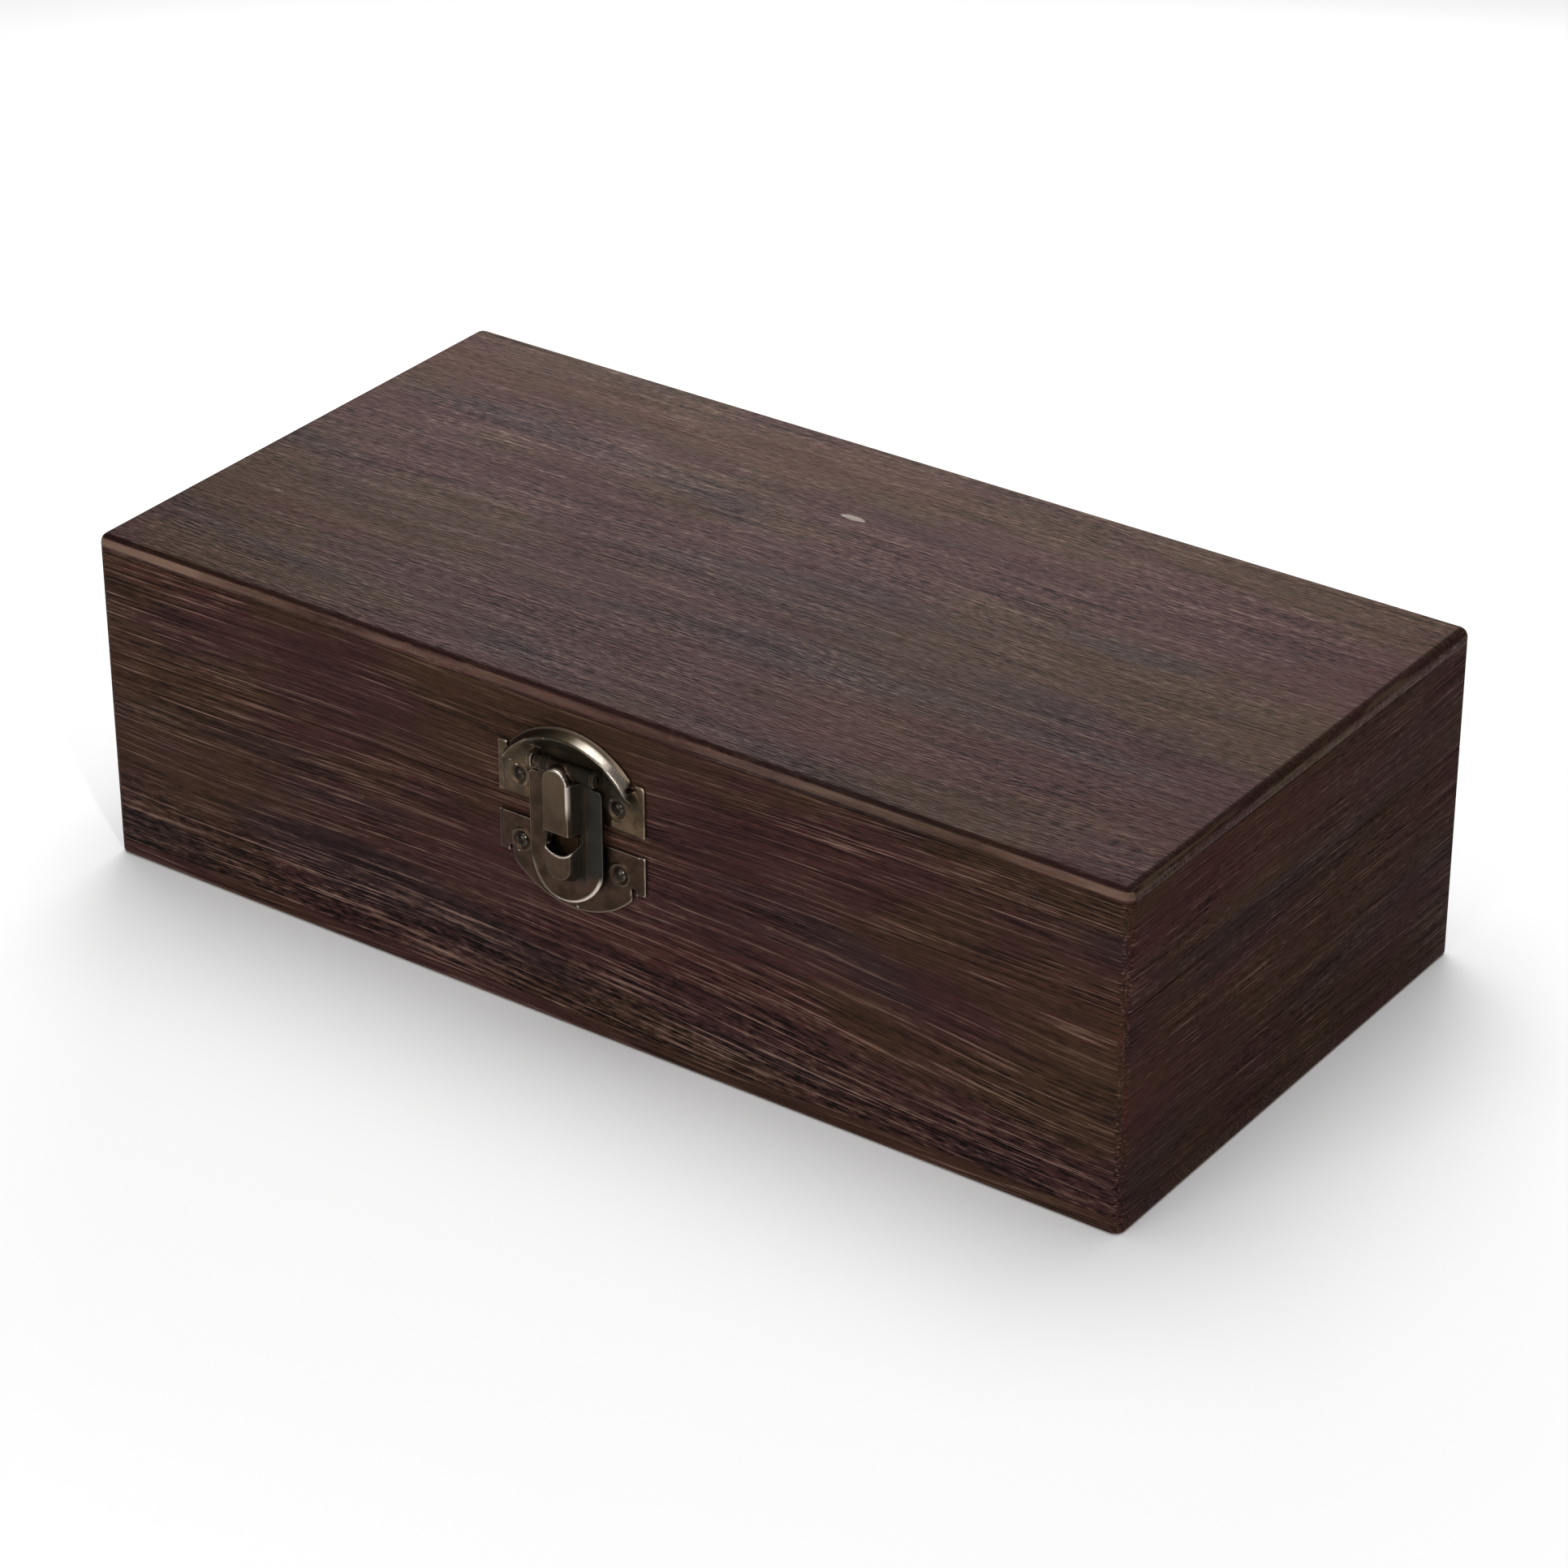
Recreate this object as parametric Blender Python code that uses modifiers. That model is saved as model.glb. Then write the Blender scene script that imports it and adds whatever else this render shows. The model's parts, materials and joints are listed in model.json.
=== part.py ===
"""Tea caddy: a low box of burnt, brushed wood, with a lid hinged behind and a bronze hasp in front.

Metres, +Z up. The box stands on z = 0 with its middle on the origin, and the latch is on its -Y face.
Latch and hinge pieces are drawn flat, with x along the box, y up and z out of the face they are fixed to,
and are then stood against that face by their rotation.
"""
from math import asin, cos, pi, radians, sin, sqrt

import bmesh
import bpy
from mathutils import Vector

# Box
LENGTH = 0.280
DEPTH = 0.142
HEIGHT = 0.084
LID_HEIGHT = 0.030
WALL = 0.009
TOP_PANEL = 0.0035
BOTTOM_PANEL = 0.004
CORNER_RADIUS = 0.0025
TOP_EDGE_RADIUS = 0.0022
BOTTOM_EDGE_RADIUS = 0.0008

# Clearance between pieces that touch
GAP = 0.0003

# Latch plates
LATCH_SHIFT = -0.0025
LATCH_RADIUS = 0.0220
EAR_REACH = 0.0201
EAR_TOP = 0.0147
EAR_BOTTOM = 0.0127
NOTCH_WIDTH = 0.0012
NOTCH_DEPTH = 0.0016
UPPER_PLATE_EDGE = 0.0019
LOWER_PLATE_EDGE = 0.0028
PLATE_THICKNESS = 0.0009
SHOULDER_INSIDE = 0.0186
SHOULDER_OUTSIDE = 0.0209
SHOULDER_HEIGHT = 0.0022
SHOULDER_START = 0.0125
NAIL_SPREAD = 0.0135
NAIL_RISE = 0.0080
NAIL_DROP = 0.0088
NAIL_HEAD_RADIUS = 0.00175
NAIL_HEAD_HEIGHT = 0.0010
NAIL_SHANK_RADIUS = 0.0006
NAIL_LENGTH = 0.0060

# Hasp
HASP_PIVOT_RISE = 0.0143
HASP_PIN_RADIUS = 0.0007
HASP_KNUCKLE_RADIUS = 0.0016
HASP_KNUCKLE_LENGTH = 0.0150
HASP_LUG_WIDTH = 0.0015
HASP_LUG_SIZE = 0.0036
HASP_WIDTH = 0.0200
HASP_REACH = 0.0194
HASP_SHOULDER = 0.0110
HASP_SHEET = 0.0009
HASP_STAND_OFF = 0.0008
HASP_LIP_START = 0.0090
HASP_LIP_BEND = 20.0
RIDGE_WALL = 0.0008
RIDGE_HEIGHT = 0.0046
RIDGE_FOOT = 0.0104
RIDGE_FRONT = 0.0068
RIDGE_TOP = 0.0155
RIDGE_END = 0.0145
RIDGE_ROUND = 0.0028
LOWER_RIDGE_SINK = 0.0009
SLOT_TOP = 0.0020
SLOT_BOTTOM = 0.0070
SLOT_WIDTH = 0.0088
CATCH_WIDTH = 0.0048
CATCH_HEIGHT = 0.0032
CATCH_OUT = 0.0018

# Hinges
HINGE_SPACING = 0.170
HINGE_WIDTH = 0.025
HINGE_LEAF = 0.0125
HINGE_SHEET = 0.0012
HINGE_KNUCKLE_RADIUS = 0.0022
HINGE_PIN_RADIUS = 0.0009
HINGE_MIDDLE_KNUCKLE = 0.0096
TAB_STEP = 0.0002
SCREW_SPREAD = 0.016
SCREW_RISE = 0.0078
SCREW_HEAD_RADIUS = 0.0020
SCREW_HEAD_HEIGHT = 0.0006
SCREW_SHANK_RADIUS = 0.0009
SCREW_LENGTH = 0.0068

# Levels and places that follow from the sizes above
SPLIT = HEIGHT - LID_HEIGHT
FRONT = -DEPTH / 2
BACK = DEPTH / 2
PLATE_BACK = GAP
PLATE_FRONT = PLATE_BACK + PLATE_THICKNESS
LATCH_ORIGIN = Vector((LATCH_SHIFT, FRONT, SPLIT - 0.0003))
HASP_BACK = PLATE_FRONT + HASP_STAND_OFF
HASP_PIVOT_OUT = PLATE_FRONT + GAP + HASP_KNUCKLE_RADIUS
HINGE_AXIS_OUT = HINGE_KNUCKLE_RADIUS + GAP + 0.0001
HINGE_AXIS_RISE = SPLIT + GAP / 2
LID_PIVOT = Vector((0, BACK + HINGE_AXIS_OUT, HINGE_AXIS_RISE))
HASP_PIVOT = LATCH_ORIGIN + Vector((0, -HASP_PIVOT_OUT, HASP_PIVOT_RISE))
FACING_FRONT = (pi / 2, 0, 0)
FACING_BACK = (pi / 2, 0, pi)
ALONG_BOX = (0, pi / 2, 0)


def new_collection(name):
    collection = bpy.data.collections.new(name)
    bpy.context.scene.collection.children.link(collection)
    return collection


def new_material(name, colour, roughness, metallic):
    material = bpy.data.materials.new(name)
    material.use_nodes = True
    shader = material.node_tree.nodes["Principled BSDF"]
    shader.inputs["Base Color"].default_value = (*colour, 1)
    shader.inputs["Roughness"].default_value = roughness
    shader.inputs["Metallic"].default_value = metallic
    material.diffuse_color = (*colour, 1)
    return material


def add_object(name, mesh, collection, place=(0, 0, 0), turn=(0, 0, 0), parent=None):
    """Put a mesh in a collection at a place in the box, under an empty if it moves."""
    piece = bpy.data.objects.new(name, mesh)
    collection.objects.link(piece)
    piece.rotation_euler = turn
    piece.location = Vector(place)
    if parent:
        piece.parent = parent
        piece.location = Vector(place) - parent.location
    return piece


def mesh_from(name, bm):
    bmesh.ops.recalc_face_normals(bm, faces=bm.faces)
    mesh = bpy.data.meshes.new(name)
    bm.to_mesh(mesh)
    bm.free()
    return mesh


def flat_mesh(name, outline, low, high):
    """A sheet of this outline in x and y, between two heights in z."""
    curve = bpy.data.curves.new(name, "CURVE")
    curve.dimensions = "2D"
    curve.fill_mode = "BOTH"
    curve.extrude = (high - low) / 2
    spline = curve.splines.new("POLY")
    spline.points.add(len(outline) - 1)
    for point, (x, y) in zip(spline.points, outline):
        point.co = (x, y, 0, 1)
    spline.use_cyclic_u = True
    drawn = bpy.data.objects.new(name, curve)
    bpy.context.scene.collection.objects.link(drawn)
    evaluated = drawn.evaluated_get(bpy.context.evaluated_depsgraph_get())
    mesh = bpy.data.meshes.new_from_object(evaluated)
    bpy.data.objects.remove(drawn)
    bm = bmesh.new()
    bm.from_mesh(mesh)
    bpy.data.meshes.remove(mesh)
    bmesh.ops.remove_doubles(bm, verts=bm.verts, dist=0.000001)
    bmesh.ops.dissolve_limit(bm, angle_limit=radians(0.5), verts=bm.verts, edges=bm.edges)
    bmesh.ops.translate(bm, verts=bm.verts, vec=(0, 0, (low + high) / 2))
    return mesh_from(name, bm)


def block_mesh(name, low, high):
    bm = bmesh.new()
    bmesh.ops.create_cube(bm, size=1)
    low = Vector(low)
    size = Vector(high) - low
    bmesh.ops.scale(bm, verts=bm.verts, vec=size)
    bmesh.ops.translate(bm, verts=bm.verts, vec=low + size / 2)
    return mesh_from(name, bm)


def rod_mesh(name, radius, length, sides=16):
    bm = bmesh.new()
    bmesh.ops.create_cone(bm, cap_ends=True, segments=sides, radius1=radius, radius2=radius, depth=length)
    mesh = mesh_from(name, bm)
    mesh.shade_smooth()
    mesh.set_sharp_from_angle(angle=radians(40))
    return mesh


def turned_mesh(name, profile):
    """A profile of (radius, height) points, from the top down, to be spun by a Screw modifier."""
    mesh = bpy.data.meshes.new(name)
    points = [(radius, 0, height) for radius, height in profile]
    mesh.from_pydata(points, [(i, i + 1) for i in range(len(points) - 1)], [])
    return mesh


def spin(piece, steps):
    screw = piece.modifiers.new("Turned", "SCREW")
    screw.steps = steps
    screw.render_steps = steps
    screw.use_merge_vertices = True
    screw.merge_threshold = 0.000001
    screw.use_smooth_shade = True


def cutter(mesh, place=(0, 0, 0), turn=(0, 0, 0), parent=None):
    piece = add_object(mesh.name, mesh, cutters, place, turn, parent)
    piece.hide_render = True
    piece.display_type = "WIRE"
    return piece


def combine(piece, other, operation):
    modifier = piece.modifiers.new(other.name, "BOOLEAN")
    modifier.operation = operation
    modifier.solver = "EXACT"
    modifier.object = other


def finish(piece, material):
    piece.data.materials.append(material)
    return piece


# Boards and panels

def board_outline(run):
    """Plan of a board with mitred ends, its outer face on y = 0 and its outer corners rounded."""
    inset = GAP / sqrt(2)
    end_angle = pi / 4 - asin(GAP / (2 * CORNER_RADIUS))
    corner = []
    for step in range(4):
        angle = end_angle * step / 3
        x = run / 2 - CORNER_RADIUS + CORNER_RADIUS * sin(angle)
        y = CORNER_RADIUS - CORNER_RADIUS * cos(angle)
        corner.append((x, y))
    right = corner + [(run / 2 - WALL - inset, WALL)]
    left = [(-x, y) for x, y in reversed(right)]
    return right + left


def make_walls(prefix, low, high, parent):
    """Four mitred boards between two levels."""
    sides = {
        "front": (LENGTH, (0, FRONT, 0), 0),
        "right": (DEPTH, (LENGTH / 2, 0, 0), pi / 2),
        "back": (LENGTH, (0, BACK, 0), pi),
        "left": (DEPTH, (-LENGTH / 2, 0, 0), -pi / 2),
    }
    walls = {}
    for side, (run, place, turn) in sides.items():
        name = f"{prefix}_{side}_board"
        mesh = flat_mesh(name, board_outline(run), low, high)
        walls[side] = finish(add_object(name, mesh, caddy, place, (0, 0, turn), parent), wood)
    return walls


def make_panel(name, low, high, rounded_level, edge_radius, parent):
    """A panel over the whole plan, with round corners and one rounded long edge."""
    bm = bmesh.new()
    bmesh.ops.create_cube(bm, size=1)
    bmesh.ops.scale(bm, verts=bm.verts, vec=(LENGTH, DEPTH, high - low))
    bmesh.ops.translate(bm, verts=bm.verts, vec=(0, 0, (low + high) / 2))
    upright = [e for e in bm.edges if abs(e.verts[0].co.z - e.verts[1].co.z) > 0.0001]
    bmesh.ops.bevel(bm, geom=upright, offset=CORNER_RADIUS, segments=6, profile=0.5, affect="EDGES")
    rim = [e for e in bm.edges if all(abs(v.co.z - rounded_level) < 0.00001 for v in e.verts)]
    bmesh.ops.bevel(bm, geom=rim, offset=edge_radius, segments=4, profile=0.5, affect="EDGES")
    return finish(add_object(name, mesh_from(name, bm), caddy, parent=parent), wood)


# Latch

def latch_point(x, y, z=0):
    """A point in the latch's flat drawing, in the box's own frame."""
    return LATCH_ORIGIN + Vector((x, -z, y))


def arc(radius, start, end, steps):
    angles = [start + (end - start) * step / steps for step in range(steps + 1)]
    return [(radius * cos(a), radius * sin(a)) for a in angles]


def plate_outline(ear_end, ear_edge, rise):
    """Half of the round, eared plate above y = 0: an arc, a notch at each side and two square ears."""
    arc_start = asin((ear_end + 0.0001) / LATCH_RADIUS)
    notch_x = LATCH_RADIUS * cos(arc_start)
    right = [
        (EAR_REACH, ear_edge),
        (EAR_REACH, ear_end - 0.0008),
        (EAR_REACH - 0.0006, ear_end),
        (notch_x + NOTCH_WIDTH, ear_end),
        (notch_x, ear_end - NOTCH_DEPTH),
    ]
    top = arc(LATCH_RADIUS, arc_start, pi - arc_start, 20)
    left = [(-x, y) for x, y in reversed(right)]
    middle = [(-EAR_REACH * 0.6, ear_edge + rise), (EAR_REACH * 0.6, ear_edge + rise)]
    return right + top + left + middle


def make_nail(name, place, parent, board, plate):
    """A domed nail through its plate into the board, with the holes it passes through."""
    head_base = PLATE_FRONT + GAP
    profile = [
        (0, head_base + NAIL_HEAD_HEIGHT),
        (NAIL_HEAD_RADIUS * 0.5, head_base + NAIL_HEAD_HEIGHT * 0.85),
        (NAIL_HEAD_RADIUS * 0.87, head_base + NAIL_HEAD_HEIGHT * 0.5),
        (NAIL_HEAD_RADIUS, head_base),
        (NAIL_SHANK_RADIUS, head_base),
        (NAIL_SHANK_RADIUS, head_base - NAIL_LENGTH),
        (0, head_base - NAIL_LENGTH - NAIL_SHANK_RADIUS),
    ]
    nail = add_object(name, turned_mesh(name, profile), caddy, place, FACING_FRONT, parent)
    spin(nail, 16)
    finish(nail, bronze)
    drill = rod_mesh(f"{name}_hole", NAIL_SHANK_RADIUS + GAP, 2 * (NAIL_LENGTH + GAP), 12)
    hole = cutter(drill, place, FACING_FRONT, parent)
    combine(board, hole, "DIFFERENCE")
    combine(plate, hole, "DIFFERENCE")


def make_upper_plate(parent):
    name = "latch_lid_plate"
    outline = plate_outline(EAR_TOP, UPPER_PLATE_EDGE, 0.0006)
    mesh = flat_mesh(name, outline, PLATE_BACK, PLATE_FRONT)
    plate = finish(add_object(name, mesh, caddy, LATCH_ORIGIN, FACING_FRONT, parent), bronze)
    # raised shoulder that follows the arc, spun as a ring and kept above the ears
    top = PLATE_FRONT + SHOULDER_HEIGHT
    foot = PLATE_FRONT - PLATE_THICKNESS / 2
    profile = [
        (SHOULDER_INSIDE, foot),
        (SHOULDER_INSIDE + 0.0008, top - 0.0003),
        (SHOULDER_INSIDE + 0.0013, top),
        (SHOULDER_OUTSIDE - 0.0003, top - 0.0006),
        (SHOULDER_OUTSIDE, foot),
        (SHOULDER_INSIDE, foot),
    ]
    ring = cutter(turned_mesh("latch_shoulder", profile), LATCH_ORIGIN, FACING_FRONT, parent)
    spin(ring, 48)
    reach = LATCH_RADIUS * 1.2
    keep = block_mesh("latch_shoulder_extent", (-reach, SHOULDER_START, 0), (reach, reach, 2 * top))
    combine(ring, cutter(keep, LATCH_ORIGIN, FACING_FRONT, parent), "INTERSECT")
    combine(plate, ring, "UNION")
    # two lugs that hold the ends of the hasp's pin
    inner = HASP_KNUCKLE_LENGTH / 2 + GAP
    half = HASP_LUG_SIZE / 2
    for side in (-1, 1):
        ends = sorted((side * inner, side * (inner + HASP_LUG_WIDTH)))
        low = (ends[0], HASP_PIVOT_RISE - half, foot)
        high = (ends[1], HASP_PIVOT_RISE + half, HASP_PIVOT_OUT + half)
        lug = block_mesh(f"latch_lug_{'left' if side < 0 else 'right'}", low, high)
        combine(plate, cutter(lug, LATCH_ORIGIN, FACING_FRONT, parent), "UNION")
    pin_hole = rod_mesh("latch_lug_hole", HASP_PIN_RADIUS + GAP, LATCH_RADIUS, 16)
    combine(plate, cutter(pin_hole, HASP_PIVOT, ALONG_BOX, parent), "DIFFERENCE")
    return plate


def make_catch_plate():
    name = "latch_catch_plate"
    outline = [(x, -y) for x, y in plate_outline(EAR_BOTTOM, LOWER_PLATE_EDGE, -0.0010)]
    mesh = flat_mesh(name, outline, PLATE_BACK, PLATE_FRONT)
    plate = finish(add_object(name, mesh, caddy, LATCH_ORIGIN, FACING_FRONT), bronze)
    # low wedge that stands behind the hasp's slot
    middle = -(SLOT_TOP + SLOT_BOTTOM) / 2
    bm = bmesh.new()
    bmesh.ops.create_cube(bm, size=1)
    size = (CATCH_WIDTH, CATCH_HEIGHT, CATCH_OUT + PLATE_THICKNESS / 2)
    bmesh.ops.scale(bm, verts=bm.verts, vec=size)
    bmesh.ops.translate(bm, verts=bm.verts, vec=(0, middle, PLATE_FRONT + CATCH_OUT - size[2] / 2))
    for vert in bm.verts:
        if vert.co.y > middle and vert.co.z > PLATE_FRONT:
            vert.co.z -= CATCH_OUT * 0.5
    wedge = cutter(mesh_from("latch_catch", bm), LATCH_ORIGIN, FACING_FRONT)
    combine(plate, wedge, "UNION")
    return plate


def tapered_block(name, foot_width, front_width, low_y, high_y, low_z, high_z, round_top=0):
    """A block whose sides lean in towards the front, with its upper front edge rounded."""
    bm = bmesh.new()
    bmesh.ops.create_cube(bm, size=1)
    bmesh.ops.scale(bm, verts=bm.verts, vec=(foot_width, high_y - low_y, high_z - low_z))
    middle = (0, (low_y + high_y) / 2, (low_z + high_z) / 2)
    bmesh.ops.translate(bm, verts=bm.verts, vec=middle)
    for vert in bm.verts:
        if vert.co.z > middle[2]:
            vert.co.x *= front_width / foot_width
    if round_top:
        edges = [
            e for e in bm.edges
            if all(v.co.y > middle[1] and v.co.z > middle[2] for v in e.verts)
        ]
        bmesh.ops.bevel(bm, geom=edges, offset=round_top, segments=5, profile=0.5, affect="EDGES")
    return mesh_from(name, bm)


def hasp_outline():
    """A tongue with square shoulders, a neck up to the knuckle and a round lower end."""
    half = HASP_WIDTH / 2
    neck = HASP_KNUCKLE_LENGTH / 2
    right = [
        (neck, HASP_PIVOT_RISE - HASP_KNUCKLE_RADIUS * 0.6),
        (neck, HASP_SHOULDER),
        (half - 0.0006, HASP_SHOULDER),
        (half, HASP_SHOULDER - 0.0006),
        (half, 0),
        (half, -HASP_LIP_START / 2),
    ]
    steps = 9
    end = []
    for step in range(steps):
        angle = pi / 2 * step / steps
        x = half * cos(angle)
        y = -HASP_LIP_START - (HASP_REACH - HASP_LIP_START) * sin(angle)
        end.append((x, y))
    right += end
    left = [(-x, y) for x, y in reversed(right)]
    outline = right + [(0, -HASP_REACH)] + left
    return outline[::-1]


def make_hasp(parent):
    name = "hasp"
    mesh = flat_mesh(name, hasp_outline(), HASP_BACK, HASP_BACK + HASP_SHEET)
    # the lower end curls away from the box so that a finger can lift it
    bm = bmesh.new()
    bm.from_mesh(mesh)
    bmesh.ops.triangulate(bm, faces=bm.faces)
    for vert in bm.verts:
        past = max(0, -HASP_LIP_START - vert.co.y)
        vert.co.z += HASP_LIP_BEND * past ** 2
    bm.to_mesh(mesh)
    bm.free()
    hasp = finish(add_object(name, mesh, caddy, LATCH_ORIGIN, FACING_FRONT, parent), bronze)
    place = (LATCH_ORIGIN, FACING_FRONT, parent)
    front = HASP_BACK + RIDGE_HEIGHT
    lower_front = front - LOWER_RIDGE_SINK
    base = HASP_BACK + 0.0001
    middle = -(SLOT_TOP + SLOT_BOTTOM) / 2
    upper = tapered_block("hasp_ridge", RIDGE_FOOT, RIDGE_FRONT, middle, RIDGE_TOP, base, front, RIDGE_ROUND)
    lower = tapered_block(
        "hasp_lower_ridge", RIDGE_FOOT, RIDGE_FRONT, -RIDGE_END, middle + 0.0005, base, lower_front
    )
    combine(hasp, cutter(upper, *place), "UNION")
    combine(hasp, cutter(lower, *place), "UNION")
    # the ridge is pressed from sheet, so it is a channel that is open behind
    foot = RIDGE_FOOT - 2 * RIDGE_WALL
    face = RIDGE_FRONT - 2 * RIDGE_WALL
    channel_top = HASP_PIVOT_RISE - HASP_KNUCKLE_RADIUS - RIDGE_WALL
    channel = tapered_block(
        "hasp_channel", foot, face, middle, channel_top, HASP_BACK - 0.001, front - RIDGE_WALL
    )
    lower_channel = tapered_block(
        "hasp_lower_channel", foot, face, RIDGE_WALL - RIDGE_END, middle + 0.0003,
        HASP_BACK - 0.001, lower_front - RIDGE_WALL,
    )
    combine(hasp, cutter(channel, *place), "DIFFERENCE")
    combine(hasp, cutter(lower_channel, *place), "DIFFERENCE")
    slot = block_mesh(
        "hasp_slot",
        (-SLOT_WIDTH / 2, -SLOT_BOTTOM, HASP_BACK + HASP_SHEET + 0.0004),
        (SLOT_WIDTH / 2, -SLOT_TOP, front + 0.001),
    )
    combine(hasp, cutter(slot, *place), "DIFFERENCE")
    knuckle = rod_mesh("hasp_knuckle", HASP_KNUCKLE_RADIUS, HASP_KNUCKLE_LENGTH, 20)
    combine(hasp, cutter(knuckle, HASP_PIVOT, ALONG_BOX, parent), "UNION")
    bore = rod_mesh("hasp_bore", HASP_PIN_RADIUS + GAP, HASP_KNUCKLE_LENGTH * 1.2, 16)
    combine(hasp, cutter(bore, HASP_PIVOT, ALONG_BOX, parent), "DIFFERENCE")
    return hasp


def make_hasp_pin(parent):
    name = "hasp_pivot_pin"
    length = HASP_KNUCKLE_LENGTH + 2 * (GAP + HASP_LUG_WIDTH)
    mesh = rod_mesh(name, HASP_PIN_RADIUS, length, 12)
    return finish(add_object(name, mesh, caddy, HASP_PIVOT, ALONG_BOX, parent), bronze)


# Hinges

def make_leaf(name, centre, tabs, up, parent):
    """A hinge leaf that stops short of the axis, with tabs to its own knuckles; up is 1 above the axis."""
    half = HINGE_WIDTH / 2
    edge = HINGE_KNUCKLE_RADIUS + GAP + 0.0001
    corner = 0.0015
    outline = [
        (half, edge),
        (half, HINGE_LEAF - corner),
        (half - corner, HINGE_LEAF),
        (corner - half, HINGE_LEAF),
        (-half, HINGE_LEAF - corner),
        (-half, edge),
    ]
    outline = [(x, up * y) for x, y in outline]
    mesh = flat_mesh(name, outline, PLATE_BACK, PLATE_BACK + HINGE_SHEET)
    back_face = Vector((centre, BACK, HINGE_AXIS_RISE))
    leaf = finish(add_object(name, mesh, caddy, back_face, FACING_BACK, parent), bronze)
    axis = back_face + Vector((0, HINGE_AXIS_OUT, 0))
    if tabs == "ends":
        inner = HINGE_MIDDLE_KNUCKLE / 2 + GAP
        length = half - TAB_STEP - inner
        middles = [-(inner + length / 2), inner + length / 2]
    else:
        length = HINGE_MIDDLE_KNUCKLE
        middles = [0]
    for number, middle in enumerate(middles):
        reach = length / 2 - TAB_STEP
        levels = sorted((-up * TAB_STEP, up * (edge + 0.001)))
        tab = block_mesh(
            f"{name}_tab_{number}",
            (middle - reach, levels[0], PLATE_BACK + TAB_STEP),
            (middle + reach, levels[1], PLATE_BACK + HINGE_SHEET - TAB_STEP),
        )
        combine(leaf, cutter(tab, back_face, FACING_BACK, parent), "UNION")
        knuckle = rod_mesh(f"{name}_knuckle_{number}", HINGE_KNUCKLE_RADIUS, length, 20)
        combine(leaf, cutter(knuckle, axis + Vector((middle, 0, 0)), ALONG_BOX, parent), "UNION")
    bore = rod_mesh(f"{name}_bore", HINGE_PIN_RADIUS + GAP, HINGE_WIDTH * 1.2, 16)
    combine(leaf, cutter(bore, axis, ALONG_BOX, parent), "DIFFERENCE")
    return leaf


def make_screw(name, place, parent, board, leaf):
    """A low round-headed screw through its leaf into the board, with the holes it passes through."""
    head_base = PLATE_BACK + HINGE_SHEET + GAP
    profile = [
        (0, head_base + SCREW_HEAD_HEIGHT),
        (SCREW_HEAD_RADIUS * 0.6, head_base + SCREW_HEAD_HEIGHT * 0.8),
        (SCREW_HEAD_RADIUS, head_base),
        (SCREW_SHANK_RADIUS, head_base),
        (SCREW_SHANK_RADIUS, head_base - SCREW_LENGTH + SCREW_SHANK_RADIUS),
        (0, head_base - SCREW_LENGTH),
    ]
    screw = add_object(name, turned_mesh(name, profile), caddy, place, FACING_BACK, parent)
    spin(screw, 16)
    finish(screw, bronze)
    drill = rod_mesh(f"{name}_hole", SCREW_SHANK_RADIUS + GAP, 2 * (SCREW_LENGTH - GAP), 12)
    hole = cutter(drill, place, FACING_BACK, parent)
    combine(board, hole, "DIFFERENCE")
    combine(leaf, hole, "DIFFERENCE")


def make_hinge(side, centre, base_board, lid_board, lid_parent):
    base_leaf = make_leaf(f"{side}_hinge_base_leaf", centre, "ends", -1, None)
    lid_leaf = make_leaf(f"{side}_hinge_lid_leaf", centre, "middle", 1, lid_parent)
    pin_name = f"{side}_hinge_pin"
    pin = rod_mesh(pin_name, HINGE_PIN_RADIUS, HINGE_WIDTH + 0.0008, 12)
    finish(add_object(pin_name, pin, caddy, LID_PIVOT + Vector((centre, 0, 0)), ALONG_BOX), bronze)
    fixings = (
        ("base", -1, None, base_board, base_leaf),
        ("lid", 1, lid_parent, lid_board, lid_leaf),
    )
    for half, up, parent, board, leaf in fixings:
        for end, offset in (("left", -SCREW_SPREAD / 2), ("right", SCREW_SPREAD / 2)):
            place = Vector((centre + offset, BACK, HINGE_AXIS_RISE + up * SCREW_RISE))
            make_screw(f"{side}_hinge_{half}_screw_{end}", place, parent, board, leaf)


for old in list(bpy.data.objects):
    bpy.data.objects.remove(old)

caddy = new_collection("tea_caddy")
cutters = new_collection("cutters")
wood = new_material("burnt wood", (0.075, 0.050, 0.042), 0.55, 0)
bronze = new_material("aged bronze", (0.16, 0.13, 0.085), 0.38, 0.9)

lid_pivot = bpy.data.objects.new("lid_pivot", None)
lid_pivot.location = LID_PIVOT
caddy.objects.link(lid_pivot)
hasp_pivot = bpy.data.objects.new("hasp_pivot", None)
hasp_pivot.location = HASP_PIVOT
caddy.objects.link(hasp_pivot)

base_walls = make_walls("base", BOTTOM_PANEL + GAP, SPLIT, None)
make_panel("base_bottom_panel", 0, BOTTOM_PANEL, 0, BOTTOM_EDGE_RADIUS, None)
lid_walls = make_walls("lid", SPLIT + GAP, HEIGHT - TOP_PANEL - GAP, lid_pivot)
make_panel("lid_top_panel", HEIGHT - TOP_PANEL, HEIGHT, HEIGHT, TOP_EDGE_RADIUS, lid_pivot)

upper_plate = make_upper_plate(lid_pivot)
catch_plate = make_catch_plate()
make_hasp(hasp_pivot)
make_hasp_pin(lid_pivot)
for side, offset in (("left", -NAIL_SPREAD), ("right", NAIL_SPREAD)):
    upper_place = latch_point(offset, NAIL_RISE)
    make_nail(f"latch_lid_nail_{side}", upper_place, lid_pivot, lid_walls["front"], upper_plate)
    lower_place = latch_point(offset, -NAIL_DROP)
    make_nail(f"latch_base_nail_{side}", lower_place, None, base_walls["front"], catch_plate)

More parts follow.
